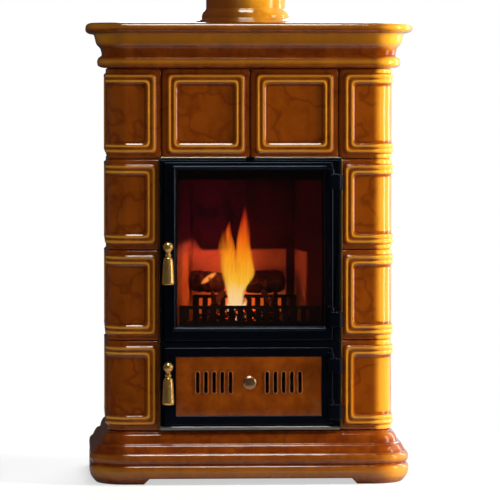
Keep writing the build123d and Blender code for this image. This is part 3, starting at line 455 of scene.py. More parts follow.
def plinth_section(low):
    """The plinth's line, cut off under a height. Its third values set the glaze band by band: partly thin and pooled
    glaze, partly painted light and painted shade.
    """
    toe = 0.027 + 0.009 * low / 0.014
    heel = 0.015 + 0.012 * low / 0.034
    line = [(-0.040, 0.122, 0), (-0.001, 0.122, 0), (0.000, 0.118, 0.0), (0.008, 0.114, 0.15), (0.013, 0.105, 0.1),
            (0.015, 0.097, -0.1), (0.016, 0.0925, -0.5), (0.0245, 0.0905, 0.0), (0.0325, 0.076, 0.1),
            (0.0335, 0.0715, -0.5), (0.037, 0.071, 0.1), (0.041, 0.066, 0.3), (0.0425, 0.057, 0.3),
            (0.0395, 0.0495, 0.05), (0.0358, 0.0458, -0.5), (0.0385, 0.0437, 0.1), (0.0412, 0.0405, 0.3),
            (0.0427, 0.036, 0.4), (0.043, 0.029, 0.4), (0.040, 0.016, 0.3), (toe, low, -0.1),
            (heel, low, 0), (0.027, 0.034, 0), (0.010, 0.078, 0), (-0.006, 0.110, 0), (-0.040, 0.110, 0)]
    return worn(line)


moulded("plinth", plinth_section, 0.098, 0.24, ((0, 0.014), (0.002, 0.014), (0.015, 0.0)))

# ================================================================ Tiles
# Pressed stove tiles, glazed on the face: a margin, a bead, a groove and a ridge frame a sunk panel. The corner
# tiles carry the same frame round the bend. Each course stands on the one below, with the tile frame behind it.
tile_w, tile_h, tile_thick, moulding_w, jacket_z = 0.205, 0.210, 0.024, 0.048, 0.122
panel_cells, corner_cells, edge_cells = 68, 84, 30


def tree_of(name, sizes):
    """A Geometry Nodes tree with named inputs, the inputs' identifiers, and a wire from each."""
    tree = bpy.data.node_groups.new(name, "GeometryNodeTree")
    tree.interface.new_socket("Geometry", in_out="OUTPUT", socket_type="NodeSocketGeometry")
    keys = {size: tree.interface.new_socket(size, in_out="INPUT", socket_type="NodeSocket" + kind).identifier
            for size, kind in sizes}
    entry = tree.nodes.new("NodeGroupInput")
    return tree, keys, {size: Wire(tree, entry.outputs[size]) for size in keys}


def grown(tree, keys, values):
    """The plain mesh that a tree makes from its inputs' values."""
    made = bpy.data.objects.new(tree.name, bpy.data.meshes.new(tree.name))
    bpy.context.scene.collection.objects.link(made)
    maker = made.modifiers.new(tree.name, "NODES")
    maker.node_group = tree
    for size, value in values:
        maker[keys[size]] = value
    return settled(made)


tile_tree, tile_keys, size = tree_of("pressed tile", (
    ("Width", "Float"), ("Height", "Float"), ("Cells across", "Int"), ("Cells up", "Int"), ("Edge cells", "Int"),
    ("Moulding", "Float"), ("Thickness", "Float"), ("Bend radius", "Float"), ("Half bend", "Float"), ("Turn", "Float"),
    ("Centre X", "Float"), ("Centre Y", "Float"), ("First joint", "Float"), ("Courses", "Int"), ("Pitch", "Float"),
    ("Batch", "Int"), ("Bend glaze and light", "Float"), ("Glaze", "Material")))
any_wire = size["Width"]  # only leads to the tree
cube_size = any_wire.node("ShaderNodeCombineXYZ", {"X": size["Cells across"], "Y": 1.0, "Z": size["Cells up"]})
sheet = any_wire.node("GeometryNodeMeshCube", {"Size": cube_size, "Vertices X": size["Cells across"] + 1,
                                               "Vertices Y": 2, "Vertices Z": size["Cells up"] + 1})
here = any_wire.node("GeometryNodeInputPosition")
cell_x, face, cell_z = [here.axis(name) for name in "XYZ"]


def spread(cell, cells, length):
    """Cells drawn together over the moulding at both ends, and spaced out over the panel."""
    count, edge = cell + cells * 0.5, size["Edge cells"]
    first = (count / edge).clamp()
    middle = ((count - edge) / (cells - edge * 2.0)).clamp()
    last = ((count - (cells - edge)) / edge).clamp()
    return (first + last) * size["Moulding"] + middle * (length - size["Moulding"] * 2.0)


along = spread(cell_x, size["Cells across"], size["Width"])
up = spread(cell_z, size["Cells up"], size["Height"])
in_x = along.maths("MINIMUM", size["Width"] - along)
in_z = up.maths("MINIMUM", size["Height"] - up)
inward = in_x.maths("SMOOTH_MIN", in_z, 0.016)
reach_mm, low_mm, span_mm = 50, -4, 10
tile_profile = [(0, -3.5), (1.2, -0.9), (3, 0.6), (6, 1.0), (11, 1.1), (13.5, 3.0), (17.5, 5.9), (21, 4.4),
                (24.3, 3.2), (27, 4.3), (30, 5.3), (33, 4.1), (37, 1.2), (41, 0.15), (50, 0)]
curve = any_wire.node("ShaderNodeFloatCurve", {"Value": inward / (reach_mm / 1000)},
                      curve=[(u / reach_mm, (h - low_mm) / span_mm) for u, h in tile_profile])
swell = curve * (span_mm / 1000) + low_mm / 1000
front = face.maths("LESS_THAN", 0.0)
lift = swell * front - (1 - front) * size["Thickness"]
middle = along - size["Width"] * 0.5
bend = (middle / size["Bend radius"]).clamp(size["Half bend"] * -1.0, size["Half bend"])
straight_on = middle - bend * size["Bend radius"]
angle = bend + size["Half bend"] + size["Turn"]
reach = size["Bend radius"] + lift
sine, cosine = angle.maths("SINE"), angle.maths("COSINE")
tile_x = size["Centre X"] + reach * sine + straight_on * cosine
tile_y = size["Centre Y"] - reach * cosine + straight_on * sine
spot = any_wire.node("ShaderNodeCombineXYZ", {"X": tile_x, "Y": tile_y, "Z": up + size["First joint"]})
margin = 1 - inward.ramp(0.009, 0.014)
into_bend = (size["Half bend"] - bend.maths("ABSOLUTE")) * size["Bend radius"] - straight_on.maths("ABSOLUTE")
on_bend = size["Half bend"].ramp(0.0, 0.1) * into_bend.ramp(-0.012, 0.022)
# The glaze across the moulding: lighter on the crests where it runs thin, darker in the margin and groove, and a dark
# line round the panel that is painted shade.
glaze_and_painted_light_line = [(0, -0.5), (9, -0.3), (11.5, -0.6), (13, -0.2), (14.5, 0.2), (16, 0.55), (17.5, 0.68), (20, 0.45),
              (22.3, 0.18), (24.3, -0.15), (26, 0.2), (28, 0.55), (30, 0.82), (32, 0.42), (34.5, -0.1), (38, -0.6),
              (41, -0.3), (45, 0.0), (50, 0.0)]
glaze_and_painted_light_curve = any_wire.node("ShaderNodeFloatCurve", {"Value": inward / (reach_mm / 1000)},
                            curve=[(u / reach_mm, (relief + 1) / 2) for u, relief in glaze_and_painted_light_line])
bend_glaze_and_light = size["Bend glaze and light"] * on_bend
tile = any_wire.node("GeometryNodeStoreNamedAttribute", {
    "Geometry": sheet, "Name": "relief", "Value": (glaze_and_painted_light_curve * 2.0 - 1.0 + bend_glaze_and_light + bend_glaze_and_light * margin) * front},
    data_type="FLOAT", domain="POINT")
tile = any_wire.node("GeometryNodeSetPosition", {"Geometry": tile, "Position": spot})
tile = any_wire.node("GeometryNodeSetShadeSmooth", {"Geometry": tile})
fold = any_wire.node("GeometryNodeInputMeshEdgeAngle")
sharp_fold = fold.maths("GREATER_THAN", 0.9)
tile = any_wire.node("GeometryNodeSetShadeSmooth", {"Geometry": tile, "Selection": sharp_fold, "Shade Smooth": False},
                     domain="EDGE")
stack = any_wire.node("GeometryNodeMeshLine", {
    "Count": size["Courses"], "Offset": any_wire.node("ShaderNodeCombineXYZ", {"Z": size["Pitch"]})})
column = any_wire.node("GeometryNodeInstanceOnPoints", {"Points": stack, "Instance": tile})
kiln = any_wire.node("FunctionNodeRandomValue", {"Seed": size["Batch"]}, out=1, data_type="FLOAT")
column = any_wire.node("GeometryNodeStoreNamedAttribute", {"Geometry": column, "Name": "batch", "Value": kiln},
                       data_type="FLOAT", domain="INSTANCE")
column = any_wire.node("GeometryNodeRealizeInstances", {"Geometry": column})
column = any_wire.node("GeometryNodeSetMaterial", {"Geometry": column, "Material": size["Glaze"]})
column.into(tile_tree.nodes.new("NodeGroupOutput").inputs[0])

bend_x, bend_y, tile_leg, quarter = half_w - corner_r, half_d - corner_r, 0.125, math.pi / 2
corner_length = 2 * (tile_leg - corner_r - joint) + corner_r * quarter
flat_length = tile_w - 2 * joint
# Each column's CAD node, width round the bend, cells, half bend, turn, centre, first course and courses. The
# bend of the front right one is lightened more than the others: painted light where the lamp falls on it.
painted_light_on_right_bend, thinned_elsewhere = 0.68, 0.14
columns = [
    ("front_right_corner_tiles", corner_length, corner_cells, quarter / 2, 0, bend_x, -bend_y, 0, 4),
    ("rear_right_corner_tiles", corner_length, corner_cells, quarter / 2, quarter, bend_x, bend_y, 0, 4),
    ("rear_left_corner_tiles", corner_length, corner_cells, quarter / 2, 2 * quarter, -bend_x, bend_y, 0, 4),
    ("front_left_corner_tiles", corner_length, corner_cells, quarter / 2, -quarter, -bend_x, -bend_y, 0, 4),
    ("side_tiles_right", flat_length, panel_cells, 0, quarter, bend_x, 0, 0, 4),
    ("side_tiles_left", flat_length, panel_cells, 0, -quarter, -bend_x, 0, 0, 4),
    ("front_tile_left", flat_length, panel_cells, 0, 0, -tile_w / 2, -bend_y, 3, 1),
    ("front_tile_right", flat_length, panel_cells, 0, 0, tile_w / 2, -bend_y, 3, 1),
]
for number, (node, width, cells, half_bend, turn, x, y, first, courses) in enumerate(columns):
    mesh = grown(tile_tree, tile_keys, (
        ("Width", width), ("Height", tile_h - 2 * joint), ("Cells across", cells), ("Cells up", panel_cells),
        ("Edge cells", edge_cells), ("Moulding", moulding_w), ("Thickness", tile_thick), ("Bend radius", corner_r),
        ("Half bend", float(half_bend)), ("Turn", float(turn)), ("Centre X", float(x)), ("Centre Y", float(y)),
        ("First joint", jacket_z + joint + first * tile_h), ("Courses", courses), ("Pitch", tile_h),
        ("Batch", number), ("Glaze", honey),
        ("Bend glaze and light", painted_light_on_right_bend if node == "front_right_corner_tiles" else thinned_elsewhere)))
    piece(node + "_glazed", mesh, "stove", "glaze", node)

# ================================================================ Cornice and top slab
# Eight hollow glazed mouldings on the top course of tiles: a torus, a cove, a slanting fascia and a bullnose. A
# glazed slab lies in their rebate and closes the top.
# The third values set the glaze band by band: partly thin and pooled glaze, partly painted light and painted shade.
cornice_line = worn([
    (-0.026, 0.962, 0), (0.010, 0.962, 0), (0.020, 0.967, 0.2), (0.022, 0.977, 0.55), (0.019, 0.986, 0.2),
    (0.010, 0.992, -0.4), (0.013, 1.008, 0.0), (0.024, 1.019, 0.45), (0.029, 1.042, 0.5), (0.038, 1.043, -0.1),
    (0.046, 1.046, 0.1), (0.0495, 1.051, 0.25), (0.050, 1.055, 0.4), (0.0495, 1.060, 0.4), (0.046, 1.064, 0.35),
    (0.038, 1.067, 0.2), (-0.014, 1.067, 0), (-0.014, 1.054, 0), (-0.026, 1.054, 0), (-0.026, 1.042, 0),
    (0.016, 1.042, 0), (-0.002, 1.008, 0), (-0.002, 0.974, 0), (-0.026, 0.974, 0)])
moulded("cornice", lambda low: cornice_line, 0.125, 0.48)
softened("top_slab", 0.0015, honey, "stove", "glaze")

# ================================================================ Flue collar
# A turned earthenware ring with a moulded foot. Its glaze is coloured lighter than the tiles' and darker on its left:
# painted light on the right and painted shade on the left. It stands on the slab and hides the gap round the steel
# spigot.
honey_collar = glaze("collar glaze with painted light and shade", "bc7418", "e6a428", "f0b840", veins=0.1, left="7e4212")
softened("flue_collar", 0.0025, honey_collar, "stove", "glaze", 3)

# ================================================================ Rear cover
# A folded sheet of black painted steel, with louvres for the warm air. It closes the back between the corner tiles,
# and six screws hold it.
coat(painted_steel, "rear_cover")
coat(plain_steel, "rear_cover_screws")

# ================================================================ Fire door
# A black-enamelled casting round a pane of glass ceramic, which four steel strips hold against a flat rope of glass
# fibre. A second rope seals the door against the front.
softened("fire_door_frame", 0.0012, black_enamel, "fire_door", "black_iron")
coat(painted_steel, "fire_glass_strips")
rope, shader, place = finish("glass rope", Specular_IOR_Level=0.2)
twist = place.node("ShaderNodeTexWave", {"Vector": place, "Scale": 320, "Distortion": 1.5}, out="Fac",
                   bands_direction="DIAGONAL")
twist.between(paint("3a3733"), paint("8b867c")).into(shader["Base Color"])
(0.8 + 0.15 * twist).into(shader["Roughness"])
twist.bump(0.0008, 0.8).into(shader["Normal"])
coat(rope, "fire_glass_seal", "fire_door_seal", "ash_door_seal")

pane, shader, place = finish("glass ceramic", Transmission_Weight=1.0, IOR=1.45, Specular_IOR_Level=0.3)
haze = place.noise(8, 4, 0.6)
haze.between(paint("f5d9c8"), paint("e8c0a8")).into(shader["Base Color"])
(0.01 + 0.04 * haze).into(shader["Roughness"])
coat(pane, "fire_door_glass")

# ================================================================ Ash door and air register
# A second enamelled casting holds a glazed tile with ten air slots; a steel slide behind them shuts the air off,
# and a brass knob that reaches through the tile moves it.
softened("ash_door_frame", 0.0012, black_enamel, "ash_door", "black_iron")
honey_panel = glaze("honey glaze on the ash tile", "7a3506", "9c4e0c", "d09060", veins=0.15)


def stadium(x, z, half_x, half_z, steps=10):
    """A slot's outline, with round ends on its longer way."""
    r = min(half_x, half_z)
    line = []
    for n in range(4 * steps):
        a = 2 * math.pi * (n + 0.5) / (4 * steps)
        line.append((x + math.copysign(half_x - r, math.cos(a)) + r * math.cos(a),
                     z + math.copysign(half_z - r, math.sin(a)) + r * math.sin(a)))
    return line


def plate(lines, y_front, y_back, edge, tube=0.0):
    """Flat outlines with holes made a plate with rounded edges, or each outline made a tube."""
    curve = bpy.data.curves.new("outline", "CURVE")
    curve.dimensions = "3D" if tube else "2D"
    curve.bevel_resolution = 2
    if tube:
        curve.bevel_depth = tube
    else:
        curve.fill_mode = "BOTH"
        curve.bevel_depth, curve.offset = edge, -edge
        curve.extrude = (y_back - y_front) / 2 - edge
    for line in lines:
        spline = curve.splines.new("POLY")
        spline.points.add(len(line) - 1)
        spline.use_cyclic_u = True
        for point, (x, z) in zip(spline.points, line):
            point.co = (x, z, 0, 1)
    made = bpy.data.objects.new("outline", curve)
    bpy.context.scene.collection.objects.link(made)
    mesh = settled(made)
    mesh.transform(Matrix.Translation((0, (y_front + y_back) / 2, 0)) @ Matrix.Rotation(math.pi / 2, 4, "X"))
    return mesh


slot_x, slot_z, slot_first, slot_pitch, slot_half_w, slot_half_h = -0.004, 0.235, 0.0425, 0.019, 0.00375, 0.0245
rim_past_slot, rim_r, rim_relief = (0.00145, 0.0015), 0.0013, 0.38
face_y, flange_y, back_y = -0.240, -0.2335, -0.231
tile_box, flange = (-0.1725, 0.1575, 0.1645, 0.2945), 0.0033


def rectangle(x_low, z_low, x_high, z_high, past=0.0):
    return [(x_low - past, z_low - past), (x_high + past, z_low - past), (x_high + past, z_high + past),
            (x_low - past, z_high + past)]


slots, rims = [[stadium(slot_x + side * (slot_first + slot_pitch * n), slot_z, slot_half_w + past_x,
                        slot_half_h + past_z) for side in (-1, 1) for n in range(5)]
               for past_x, past_z in ((0, 0), rim_past_slot)]
stem_slot = stadium(0.00225, slot_z, 0.00825, 0.0035)
work = bmesh.new()
thin_glaze = work.verts.layers.float.new("relief")
for part in (plate([rectangle(*tile_box), *slots, stem_slot], face_y, flange_y, 0.0012),
             plate([rectangle(*tile_box, flange), *slots, stem_slot], flange_y - 0.0002, back_y, 0.0003),
             plate(rims, face_y - 0.0005, face_y - 0.0005, 0, tube=rim_r)):
    work.from_mesh(part)
    bpy.data.meshes.remove(part)
bmesh.ops.remove_doubles(work, verts=work.verts, dist=1e-6)
for vert in work.verts:
    vert[thin_glaze] = rim_relief if vert.co.y < face_y - 0.0003 else 0.0
piece("ash_tile_glazed", finished(work, "ash tile", honey_panel, 40), "ash_door", "glaze", "ash_tile")
coat(painted_steel, "ash_slide_guides", "air_slide")


# ================================================================ Handles, knob and latches
# Two drop handles, turned in brass, polished and lacquered, hang from steel spindles, each with a flat tongue behind
# its door. The knob of the air slide is turned as well, and bronzed.
def turned(name, line, material, steps=40):
    """A closed line of (radius, height) from pole to pole turned round the upright axis."""
    work = bmesh.new()
    rings = []
    for r, z in line:
        if r < 1e-6:
            rings.append([work.verts.new((0, 0, z))])
        else:
            rings.append([work.verts.new((r * math.cos(a), r * math.sin(a), z))
                          for a in [2 * math.pi * n / steps for n in range(steps)]])
    for pole, ring in ((rings[0][0], rings[1]), (rings[-1][0], rings[-2])):
        for n in range(steps):
            work.faces.new((pole, ring[n], ring[(n + 1) % steps]))
    joined(work, rings[1:-1])
    return finished(work, name, material)


brass, shader, place = finish("polished brass", Metallic=0.82)
tone = place.noise(60, 3)
tone.between(paint("cc9640"), paint("ecc47c")).into(shader["Base Color"])
(0.2 + 0.12 * tone).into(shader["Roughness"])
place.noise(220, 2).bump(0.0003, 0.3).into(shader["Normal"])


def smooth(points, steps):
    """A rounded line through points of any number of parts. At each it heads as its two neighbours lie."""
    line = []
    ends = [points[0]] + points + [points[-1]]
    for a, b, c, d in zip(ends, ends[1:], ends[2:], ends[3:]):
        for n in range(steps):
            t = n / steps
            line.append(tuple(0.5 * (2 * q + (r - p) * t + (2 * p - 5 * q + 4 * r - s) * t * t
                                     + (3 * q - p - 3 * r + s) * t ** 3) for p, q, r, s in zip(a, b, c, d)))
    return line + [points[-1]]


drop_line = [(0, 0.011), (0.006, 0.010), (0.0113, 0.003), (0.0103, -0.005), (0.005, -0.013), (0.0078, -0.019),
             (0.0055, -0.023), (0.0108, -0.031), (0.0135, -0.075), (0.0138, -0.083), (0.011, -0.087), (0, -0.087)]
drop_line = [(max(r, 0.0), z) for r, z in smooth(drop_line, 5)]
handle_x, handle_y = -0.191, -0.257
for body, handle_z in (("fire", 0.550), ("ash", 0.272)):
    mesh = turned(body + "_drop", drop_line, brass)
    mesh.transform(Matrix.Translation((handle_x, handle_y, handle_z)))
    piece(body + "_drop_handle", mesh, body + "_door_handle", "handle_brass", body + "_handle")
coat(plain_steel, "fire_latch", "ash_latch")
bronze, shader, place = finish("bronzed knob", Metallic=1.0)
tone = place.noise(90, 3)
tone.between(paint("b07a54"), paint("e0b48c")).into(shader["Base Color"])
(0.3 + 0.15 * tone).into(shader["Roughness"])
softened("air_knob", 0.0006, bronze, "air_register", "handle_brass")


# ================================================================ Logs, embers and fire
# Two charred split logs lie across the rear fence on four sticks of kindling, which lean on a bed of embers. The
# fire stands between the logs.
def log(name, start, end, radius, seed, wedge, material, sides=28, steps=28):
    """A split log between two points, flat on its split side and ragged at its ends."""
    work = bmesh.new()
    start, end = Vector(start), Vector(end)
    axis = (end - start).normalized()
    side = axis.cross(Vector((0, 0, 1))).normalized()
    top = side.cross(axis)
    rings = []
    for n in range(steps + 1):
        share = n / steps
        ring = []
        for m in range(sides):
            a = 2 * math.pi * m / sides
            split = math.cos(a - wedge)
            r = radius * 0.35 / split if split > 0.35 else radius
            rough = noise.noise(Vector((m * 0.9, share * 9, seed))) + 0.5 * noise.noise(
                Vector((math.cos(a) * 9, math.sin(a) * 9, share * 22 + seed)))
            r *= (1 - 0.16 * (2 * abs(share - 0.5)) ** 6) * (1 + 0.13 * rough)
            ragged = axis * (0.006 * noise.noise(Vector((m, seed, n > steps / 2))) if n in (0, steps) else 0)
            at = start.lerp(end, share) + side * math.cos(a) * r + top * math.sin(a) * r
            ring.append(work.verts.new(at + ragged))
        rings.append(ring)
    joined(work, rings)
    for ring in (rings[0], rings[-1]):
        centre = work.verts.new(sum((v.co for v in ring), Vector()) / sides)
        for m in range(sides):
            work.faces.new((ring[m], ring[(m + 1) % sides], centre))
    return finished(work, name, material)


split_at = (-0.088, 0.463)  # the glowing split in the left log
charred, shader, place = finish("charred wood", Emission_Strength=1.3, Roughness=0.9)
crack = place.node("ShaderNodeTexVoronoi", {"Vector": place, "Scale": 75}, out="Distance", feature="DISTANCE_TO_EDGE")
past_x, past_z = place.axis("X") - split_at[0], place.axis("Z") - split_at[1]
on_split, off_split = (past_x * 0.8 + past_z * 0.6) * 0.5, (past_z * 0.8 - past_x * 0.6) * 1.7
heat = 1 - (on_split * on_split + off_split * off_split).ramp(0.00002, 0.00016)
bark = place.noise(60, 4, 0.65)
bark.between(paint("160909"), paint("361812")).into(shader["Base Color"])
glow = heat * bark.ramp(0.30, 0.55)
glow.between((0, 0, 0, 1), (1.0, 0.38, 0.07, 1)).into(shader["Emission Color"])
(bark + crack).bump(0.004, 0.8).into(shader["Normal"])

logs = [
    ("log_left", (-0.128, 0.036, 0.462), (-0.050, 0.026, 0.457), 0.032, 3, 1.9),
    ("log_right", (0.002, 0.026, 0.457), (0.092, 0.036, 0.460), 0.032, 8, 1.2),
    ("kindling_left", (-0.100, -0.060, 0.372), (-0.052, 0.000, 0.432), 0.008, 2, 0.5),
    ("kindling_left_short", (-0.052, -0.090, 0.372), (-0.078, -0.006, 0.428), 0.007, 6, 0.5),
    ("kindling_right", (0.085, -0.070, 0.372), (0.042, 0.000, 0.432), 0.008, 9, 0.5),
    ("kindling_right_short", (0.050, -0.100, 0.372), (0.072, -0.006, 0.429), 0.007, 4, 0.5),
]
for name, start, end, radius, seed, wedge in logs:
    piece(name, log(name, start, end, radius, seed, wedge, charred), "stove", "firebrick")

ember, shader, place = finish("embers", Emission_Strength=2.5, Roughness=0.95)
lump = place.noise(95, 3, 0.6)
hot = lump.ramp(0.55, 0.66)
hot.between(paint("0c0707"), paint("241612")).into(shader["Base Color"])
fire_foot = (-0.027, -0.08, 0.38)
from_fire = place.node("ShaderNodeVectorMath", {0: place, 1: fire_foot}, out="Value", operation="DISTANCE")
(hot * (1 - from_fire.ramp(0.05, 0.12))).between((0, 0, 0, 1), (1.0, 0.13, 0.008, 1)).into(shader["Emission Color"])

ember_tree, ember_keys, size = tree_of("bed of embers", (
    ("Width", "Float"), ("Depth", "Float"), ("Heap", "Float"), ("Lump", "Float"), ("Density", "Float"), ("Seed", "Int"),
    ("Centre", "Vector"), ("Embers", "Material")))
any_wire = size["Width"]  # only leads to the tree
bed = any_wire.node("GeometryNodeMeshGrid", {"Size X": size["Width"], "Size Y": size["Depth"], "Vertices X": 20,
                                             "Vertices Y": 20})
here = any_wire.node("GeometryNodeInputPosition")
spread_x, spread_y = here.axis("X") / size["Width"], here.axis("Y") / size["Depth"]
mound = (1 - 4.0 * (spread_x * spread_x + spread_y * spread_y)).maths("MAXIMUM", 0.0) * size["Heap"]
raised = any_wire.node("ShaderNodeCombineXYZ", {"Z": mound})
bed = any_wire.node("GeometryNodeSetPosition", {"Geometry": bed, "Offset": raised})
points = any_wire.node("GeometryNodeDistributePointsOnFaces", {"Mesh": bed, "Density": size["Density"],
                                                               "Seed": size["Seed"]})
coal = any_wire.node("GeometryNodeMeshIcoSphere", {"Radius": size["Lump"], "Subdivisions": 2})
turn = any_wire.node("FunctionNodeRandomValue", {"Max": (6.28, 6.28, 6.28), "Seed": size["Seed"]},
                     data_type="FLOAT_VECTOR")
grow = any_wire.node("FunctionNodeRandomValue", {0: (0.5, 0.5, 0.4), 1: (1.4, 1.1, 0.9), "Seed": size["Seed"]},
                     data_type="FLOAT_VECTOR")
coals = any_wire.node("GeometryNodeInstanceOnPoints", {"Points": points, "Instance": coal, "Rotation": turn,
                                                       "Scale": grow})
coals = any_wire.node("GeometryNodeRealizeInstances", {"Geometry": coals})
coals = any_wire.node("GeometryNodeTransform", {"Geometry": coals, "Translation": size["Centre"]})
coals = any_wire.node("GeometryNodeSetMaterial", {"Geometry": coals, "Material": size["Embers"]})
coals.into(ember_tree.nodes.new("NodeGroupOutput").inputs[0])
piece("embers", grown(ember_tree, ember_keys, (
    ("Width", 0.22), ("Depth", 0.22), ("Heap", 0.030), ("Lump", 0.008), ("Density", 9000.0), ("Seed", 4),
    ("Centre", (-0.005, -0.060, 0.364)), ("Embers", ember))), "stove")

flame, shader, place = finish("flame", Base_Color=(0, 0, 0, 1), Roughness=1.0, Specular_IOR_Level=0.0,
                              Emission_Strength=1.15)
core, rise = place.attribute("core"), place.attribute("rise")
lick = place.noise(38, 4, 0.6, (1, 1, 0.22))
flame_foot, flame_height = 0.385, 0.23
cooled = (place.axis("Z") + 0.05 * (lick - 0.5) - 0.015 * core - flame_foot) / flame_height
streak = place.noise(150, 2, 0.5, (1, 1, 0.05)).ramp(0.34, 0.66)
cooled.node("ShaderNodeValToRGB", {0: cooled}, stops=[
    (0.0, (1.0, 0.95, 0.68, 1)), (0.16, (1.0, 0.88, 0.36, 1)), (0.27, (1.0, 0.70, 0.06, 1)),
    (0.50, (1.0, 0.50, 0.02, 1)), (0.70, (0.98, 0.22, 0.012, 1)), (0.88, (0.70, 0.06, 0.012, 1)),
    (1.0, (0.36, 0.02, 0.012, 1))]).into(shader["Emission Color"])
wisps = ((lick - 0.22) * 1.8 + 0.5 * (1 - rise)) * (0.45 + 0.8 * streak)
(core.maths("POWER", 2.2) * (1 - rise.ramp(0.6, 1.0)) * wisps).maths("MINIMUM", 0.92).into(shader["Alpha"])


def tongue(work, line, depth, rise_layer, core_layer, sides=16):
    """One lick of flame: a flat lens along a bent line of (x, y, z, half width), thin at the rim."""
    rings = []
    for n, (x, y, z, w) in enumerate(line):
        w = max(w, 0.0005)
        ring = []
        for m in range(sides):
            a = 2 * math.pi * m / sides
            vert = work.verts.new((x + w * math.cos(a), y + depth * w * math.sin(a), z))
            vert[rise_layer] = n / (len(line) - 1)
            vert[core_layer] = abs(math.sin(a))
            ring.append(vert)
        rings.append(ring)
    joined(work, rings)
    for ring in (rings[0], rings[-1]):
        work.faces.new(ring)


licks = [
    [(-0.028, -0.084, 0.366, 0.014), (-0.028, -0.086, 0.395, 0.018), (-0.028, -0.086, 0.418, 0.019),
     (-0.029, -0.084, 0.440, 0.017), (-0.031, -0.082, 0.470, 0.013), (-0.029, -0.080, 0.500, 0.003)],
    [(-0.024, -0.076, 0.380, 0.013), (-0.018, -0.076, 0.430, 0.013), (-0.007, -0.074, 0.480, 0.020),
     (-0.006, -0.072, 0.520, 0.020), (-0.009, -0.072, 0.550, 0.018), (-0.006, -0.070, 0.590, 0.014),
     (-0.004, -0.070, 0.630, 0.005)],
    [(-0.030, -0.070, 0.380, 0.013), (-0.037, -0.070, 0.430, 0.012), (-0.046, -0.070, 0.480, 0.016),
     (-0.051, -0.068, 0.520, 0.017), (-0.055, -0.066, 0.550, 0.013), (-0.053, -0.066, 0.584, 0.005)],
    [(-0.028, -0.062, 0.390, 0.017), (-0.028, -0.062, 0.440, 0.019), (-0.028, -0.062, 0.480, 0.031),
     (-0.028, -0.060, 0.510, 0.026), (-0.030, -0.060, 0.548, 0.004)],
    [(-0.014, -0.064, 0.440, 0.008), (0.006, -0.064, 0.474, 0.013), (0.006, -0.064, 0.505, 0.009),
     (0.000, -0.062, 0.555, 0.002)],
    [(-0.016, -0.058, 0.500, 0.010), (-0.013, -0.058, 0.550, 0.012), (-0.006, -0.057, 0.600, 0.010),
     (-0.004, -0.056, 0.644, 0.002)],
    [(-0.040, -0.058, 0.500, 0.012), (-0.038, -0.056, 0.540, 0.011), (-0.044, -0.056, 0.575, 0.008),
     (-0.040, -0.056, 0.604, 0.002)],
    [(-0.036, -0.094, 0.372, 0.009), (-0.043, -0.094, 0.396, 0.007), (-0.050, -0.094, 0.418, 0.002)],
    [(-0.018, -0.094, 0.372, 0.009), (-0.011, -0.094, 0.398, 0.008), (-0.001, -0.094, 0.420, 0.002)],
]
work = bmesh.new()
rise_layer, core_layer = work.verts.layers.float.new("rise"), work.verts.layers.float.new("core")
for lick_line in licks:
    tongue(work, smooth(lick_line, 6), 0.35, rise_layer, core_layer)
flames = piece("flames", finished(work, "flames", flame), "stove")
flames.visible_shadow = False

# ================================================================ Room
# A pale floor, a white surround and soft lamps: a tall window on the right, a softbox overhead, low fill in front
# and on the left. What the glaze mirrors is narrower than what lights it. The fire's own lamps follow.
scene = bpy.context.scene
scene.view_settings.view_transform = "Standard"


def lamp(name, at, towards, width, height, watts, colour=(1, 1, 1), mirrored=True, soft=True):
    data = bpy.data.lights.new(name, "AREA")
    data.shape, data.size, data.size_y, data.energy, data.color = "RECTANGLE", width, height, watts, colour
    made = bpy.data.objects.new(name, data)
    made.location = at
    made.rotation_euler = (Vector(towards) - Vector(at)).to_track_quat("-Z", "Y").to_euler()
    made.visible_camera = False
    made.visible_glossy, made.visible_diffuse = mirrored, soft
    scene.collection.objects.link(made)


lamp("window", (2.8, -0.55, 1.05), (0.2, -0.15, 0.65), 1.0, 1.9, 240, (1.0, 0.93, 0.80), mirrored=False)
lamp("window pane", (2.7, -0.75, 1.05), (0.2, -0.15, 0.65), 0.5, 1.7, 16, (1.0, 0.95, 0.86), soft=False)
lamp("bright jamb", (2.5, 1.1, 1.05), (0.2, -0.15, 0.65), 0.15, 1.7, 12, soft=False)
lamp("rooflight", (-0.02, -0.78, 3.0), (-0.02, -0.25, 0.3), 0.8, 0.9, 40, (1.0, 0.95, 0.88), soft=False)
lamp("overhead softbox", (0.3, -1.3, 3.0), (0, -0.1, 0.6), 1.6, 0.9, 15, mirrored=False)
lamp("front fill", (-1.8, -3.4, 1.6), (0, 0, 0.6), 1.6, 1.6, 20, mirrored=False)
lamp("left fill", (-2.6, -0.2, 1.5), (0, 0, 0.6), 0.8, 1.6, 8, (0.9, 0.92, 1.0), mirrored=False)
lamp("rear fill", (0.5, 3.0, 2.0), (0, 0, 0.6), 1.6, 1.6, 60)

fire_colour, afterglow_colour = (1.0, 0.24, 0.05), (1.0, 0.03, 0.50)
for name, at, watts, radius, colour in (("fire light", (-0.036, -0.055, 0.475), 1.5, 0.03, fire_colour),
                                        ("ember light", (-0.02, -0.12, 0.41), 0.06, 0.04, fire_colour),
                                        ("afterglow", (-0.085, -0.030, 0.610), 0.75, 0.06, afterglow_colour)):
    data = bpy.data.lights.new(name, "POINT")
    data.color, data.energy, data.shadow_soft_size = colour, watts, radius
    made = bpy.data.objects.new(name, data)
    made.location = at
    made.visible_camera = made.visible_glossy = made.visible_transmission = False
    scene.collection.objects.link(made)

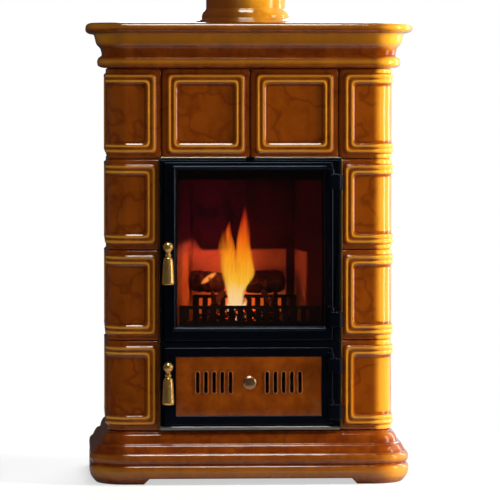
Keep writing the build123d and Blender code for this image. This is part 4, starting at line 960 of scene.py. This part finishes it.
lamp("glow behind the fence", (0, 0.069, 0.395), (0, 1, 0.395), 0.22, 0.03, 0.12, (1.0, 0.35, 0.1))

world = bpy.data.worlds.new("white surround")
scene.world = world
world.use_nodes = True
tree = world.node_tree
sky = Wire(tree)
bounces = sky.node("ShaderNodeLightPath", out="Diffuse Depth") + sky.node("ShaderNodeLightPath", out="Glossy Depth")
through_glass = sky.node("ShaderNodeLightPath", out="Is Transmission Ray") * bounces.maths("LESS_THAN", 0.5)
seen = sky.node("ShaderNodeLightPath", out="Is Camera Ray").maths("MAXIMUM", through_glass)
mirrored = sky.node("ShaderNodeLightPath", out="Is Glossy Ray")
heading = sky.node("ShaderNodeTexCoord", out="Generated")
behind, rightward = heading.axis("Y").ramp(-0.2, 0.6), heading.axis("X").ramp(0.0, 0.2)
strength = seen + (1 - seen) * (mirrored * (0.02 + (0.01 + 0.97 * rightward) * behind) + (1 - mirrored) * 0.16)
strength.into(tree.nodes["Background"].inputs["Strength"])
tree.nodes["Background"].inputs["Color"].default_value = (1, 1, 1, 1)

floor_r, shadow_from, shadow_to = 3.0, 0.55, 1.15
work = bmesh.new()
bmesh.ops.create_circle(work, cap_ends=True, segments=96, radius=floor_r)
mesh = bpy.data.meshes.new("floor")
work.to_mesh(mesh)
work.free()
floor = bpy.data.objects.new("floor", mesh)
floor.location = (0, 0, -0.0005)
scene.collection.objects.link(floor)
pale, shader, place = finish("pale floor", Roughness=0.6, Base_Color=(0.5, 0.5, 0.5, 1))
tree = pale.node_tree
camera_ray = place.node("ShaderNodeLightPath", out="Is Camera Ray")
lift = place.node("ShaderNodeEmission", {"Color": (1, 1, 1, 1), "Strength": camera_ray * 0.58})
lit = place.node("ShaderNodeAddShader", {0: Wire(tree, tree.nodes["Principled BSDF"].outputs[0]), 1: lift})
radius = place.node("ShaderNodeVectorMath", {0: place}, out="Value", operation="LENGTH")
edge = radius.ramp(shadow_from, shadow_to)
clear = place.node("ShaderNodeBsdfTransparent")
place.node("ShaderNodeMixShader", {0: edge, 1: lit, 2: clear}).into(tree.nodes["Material Output"].inputs[0])
mesh.materials.append(pale)
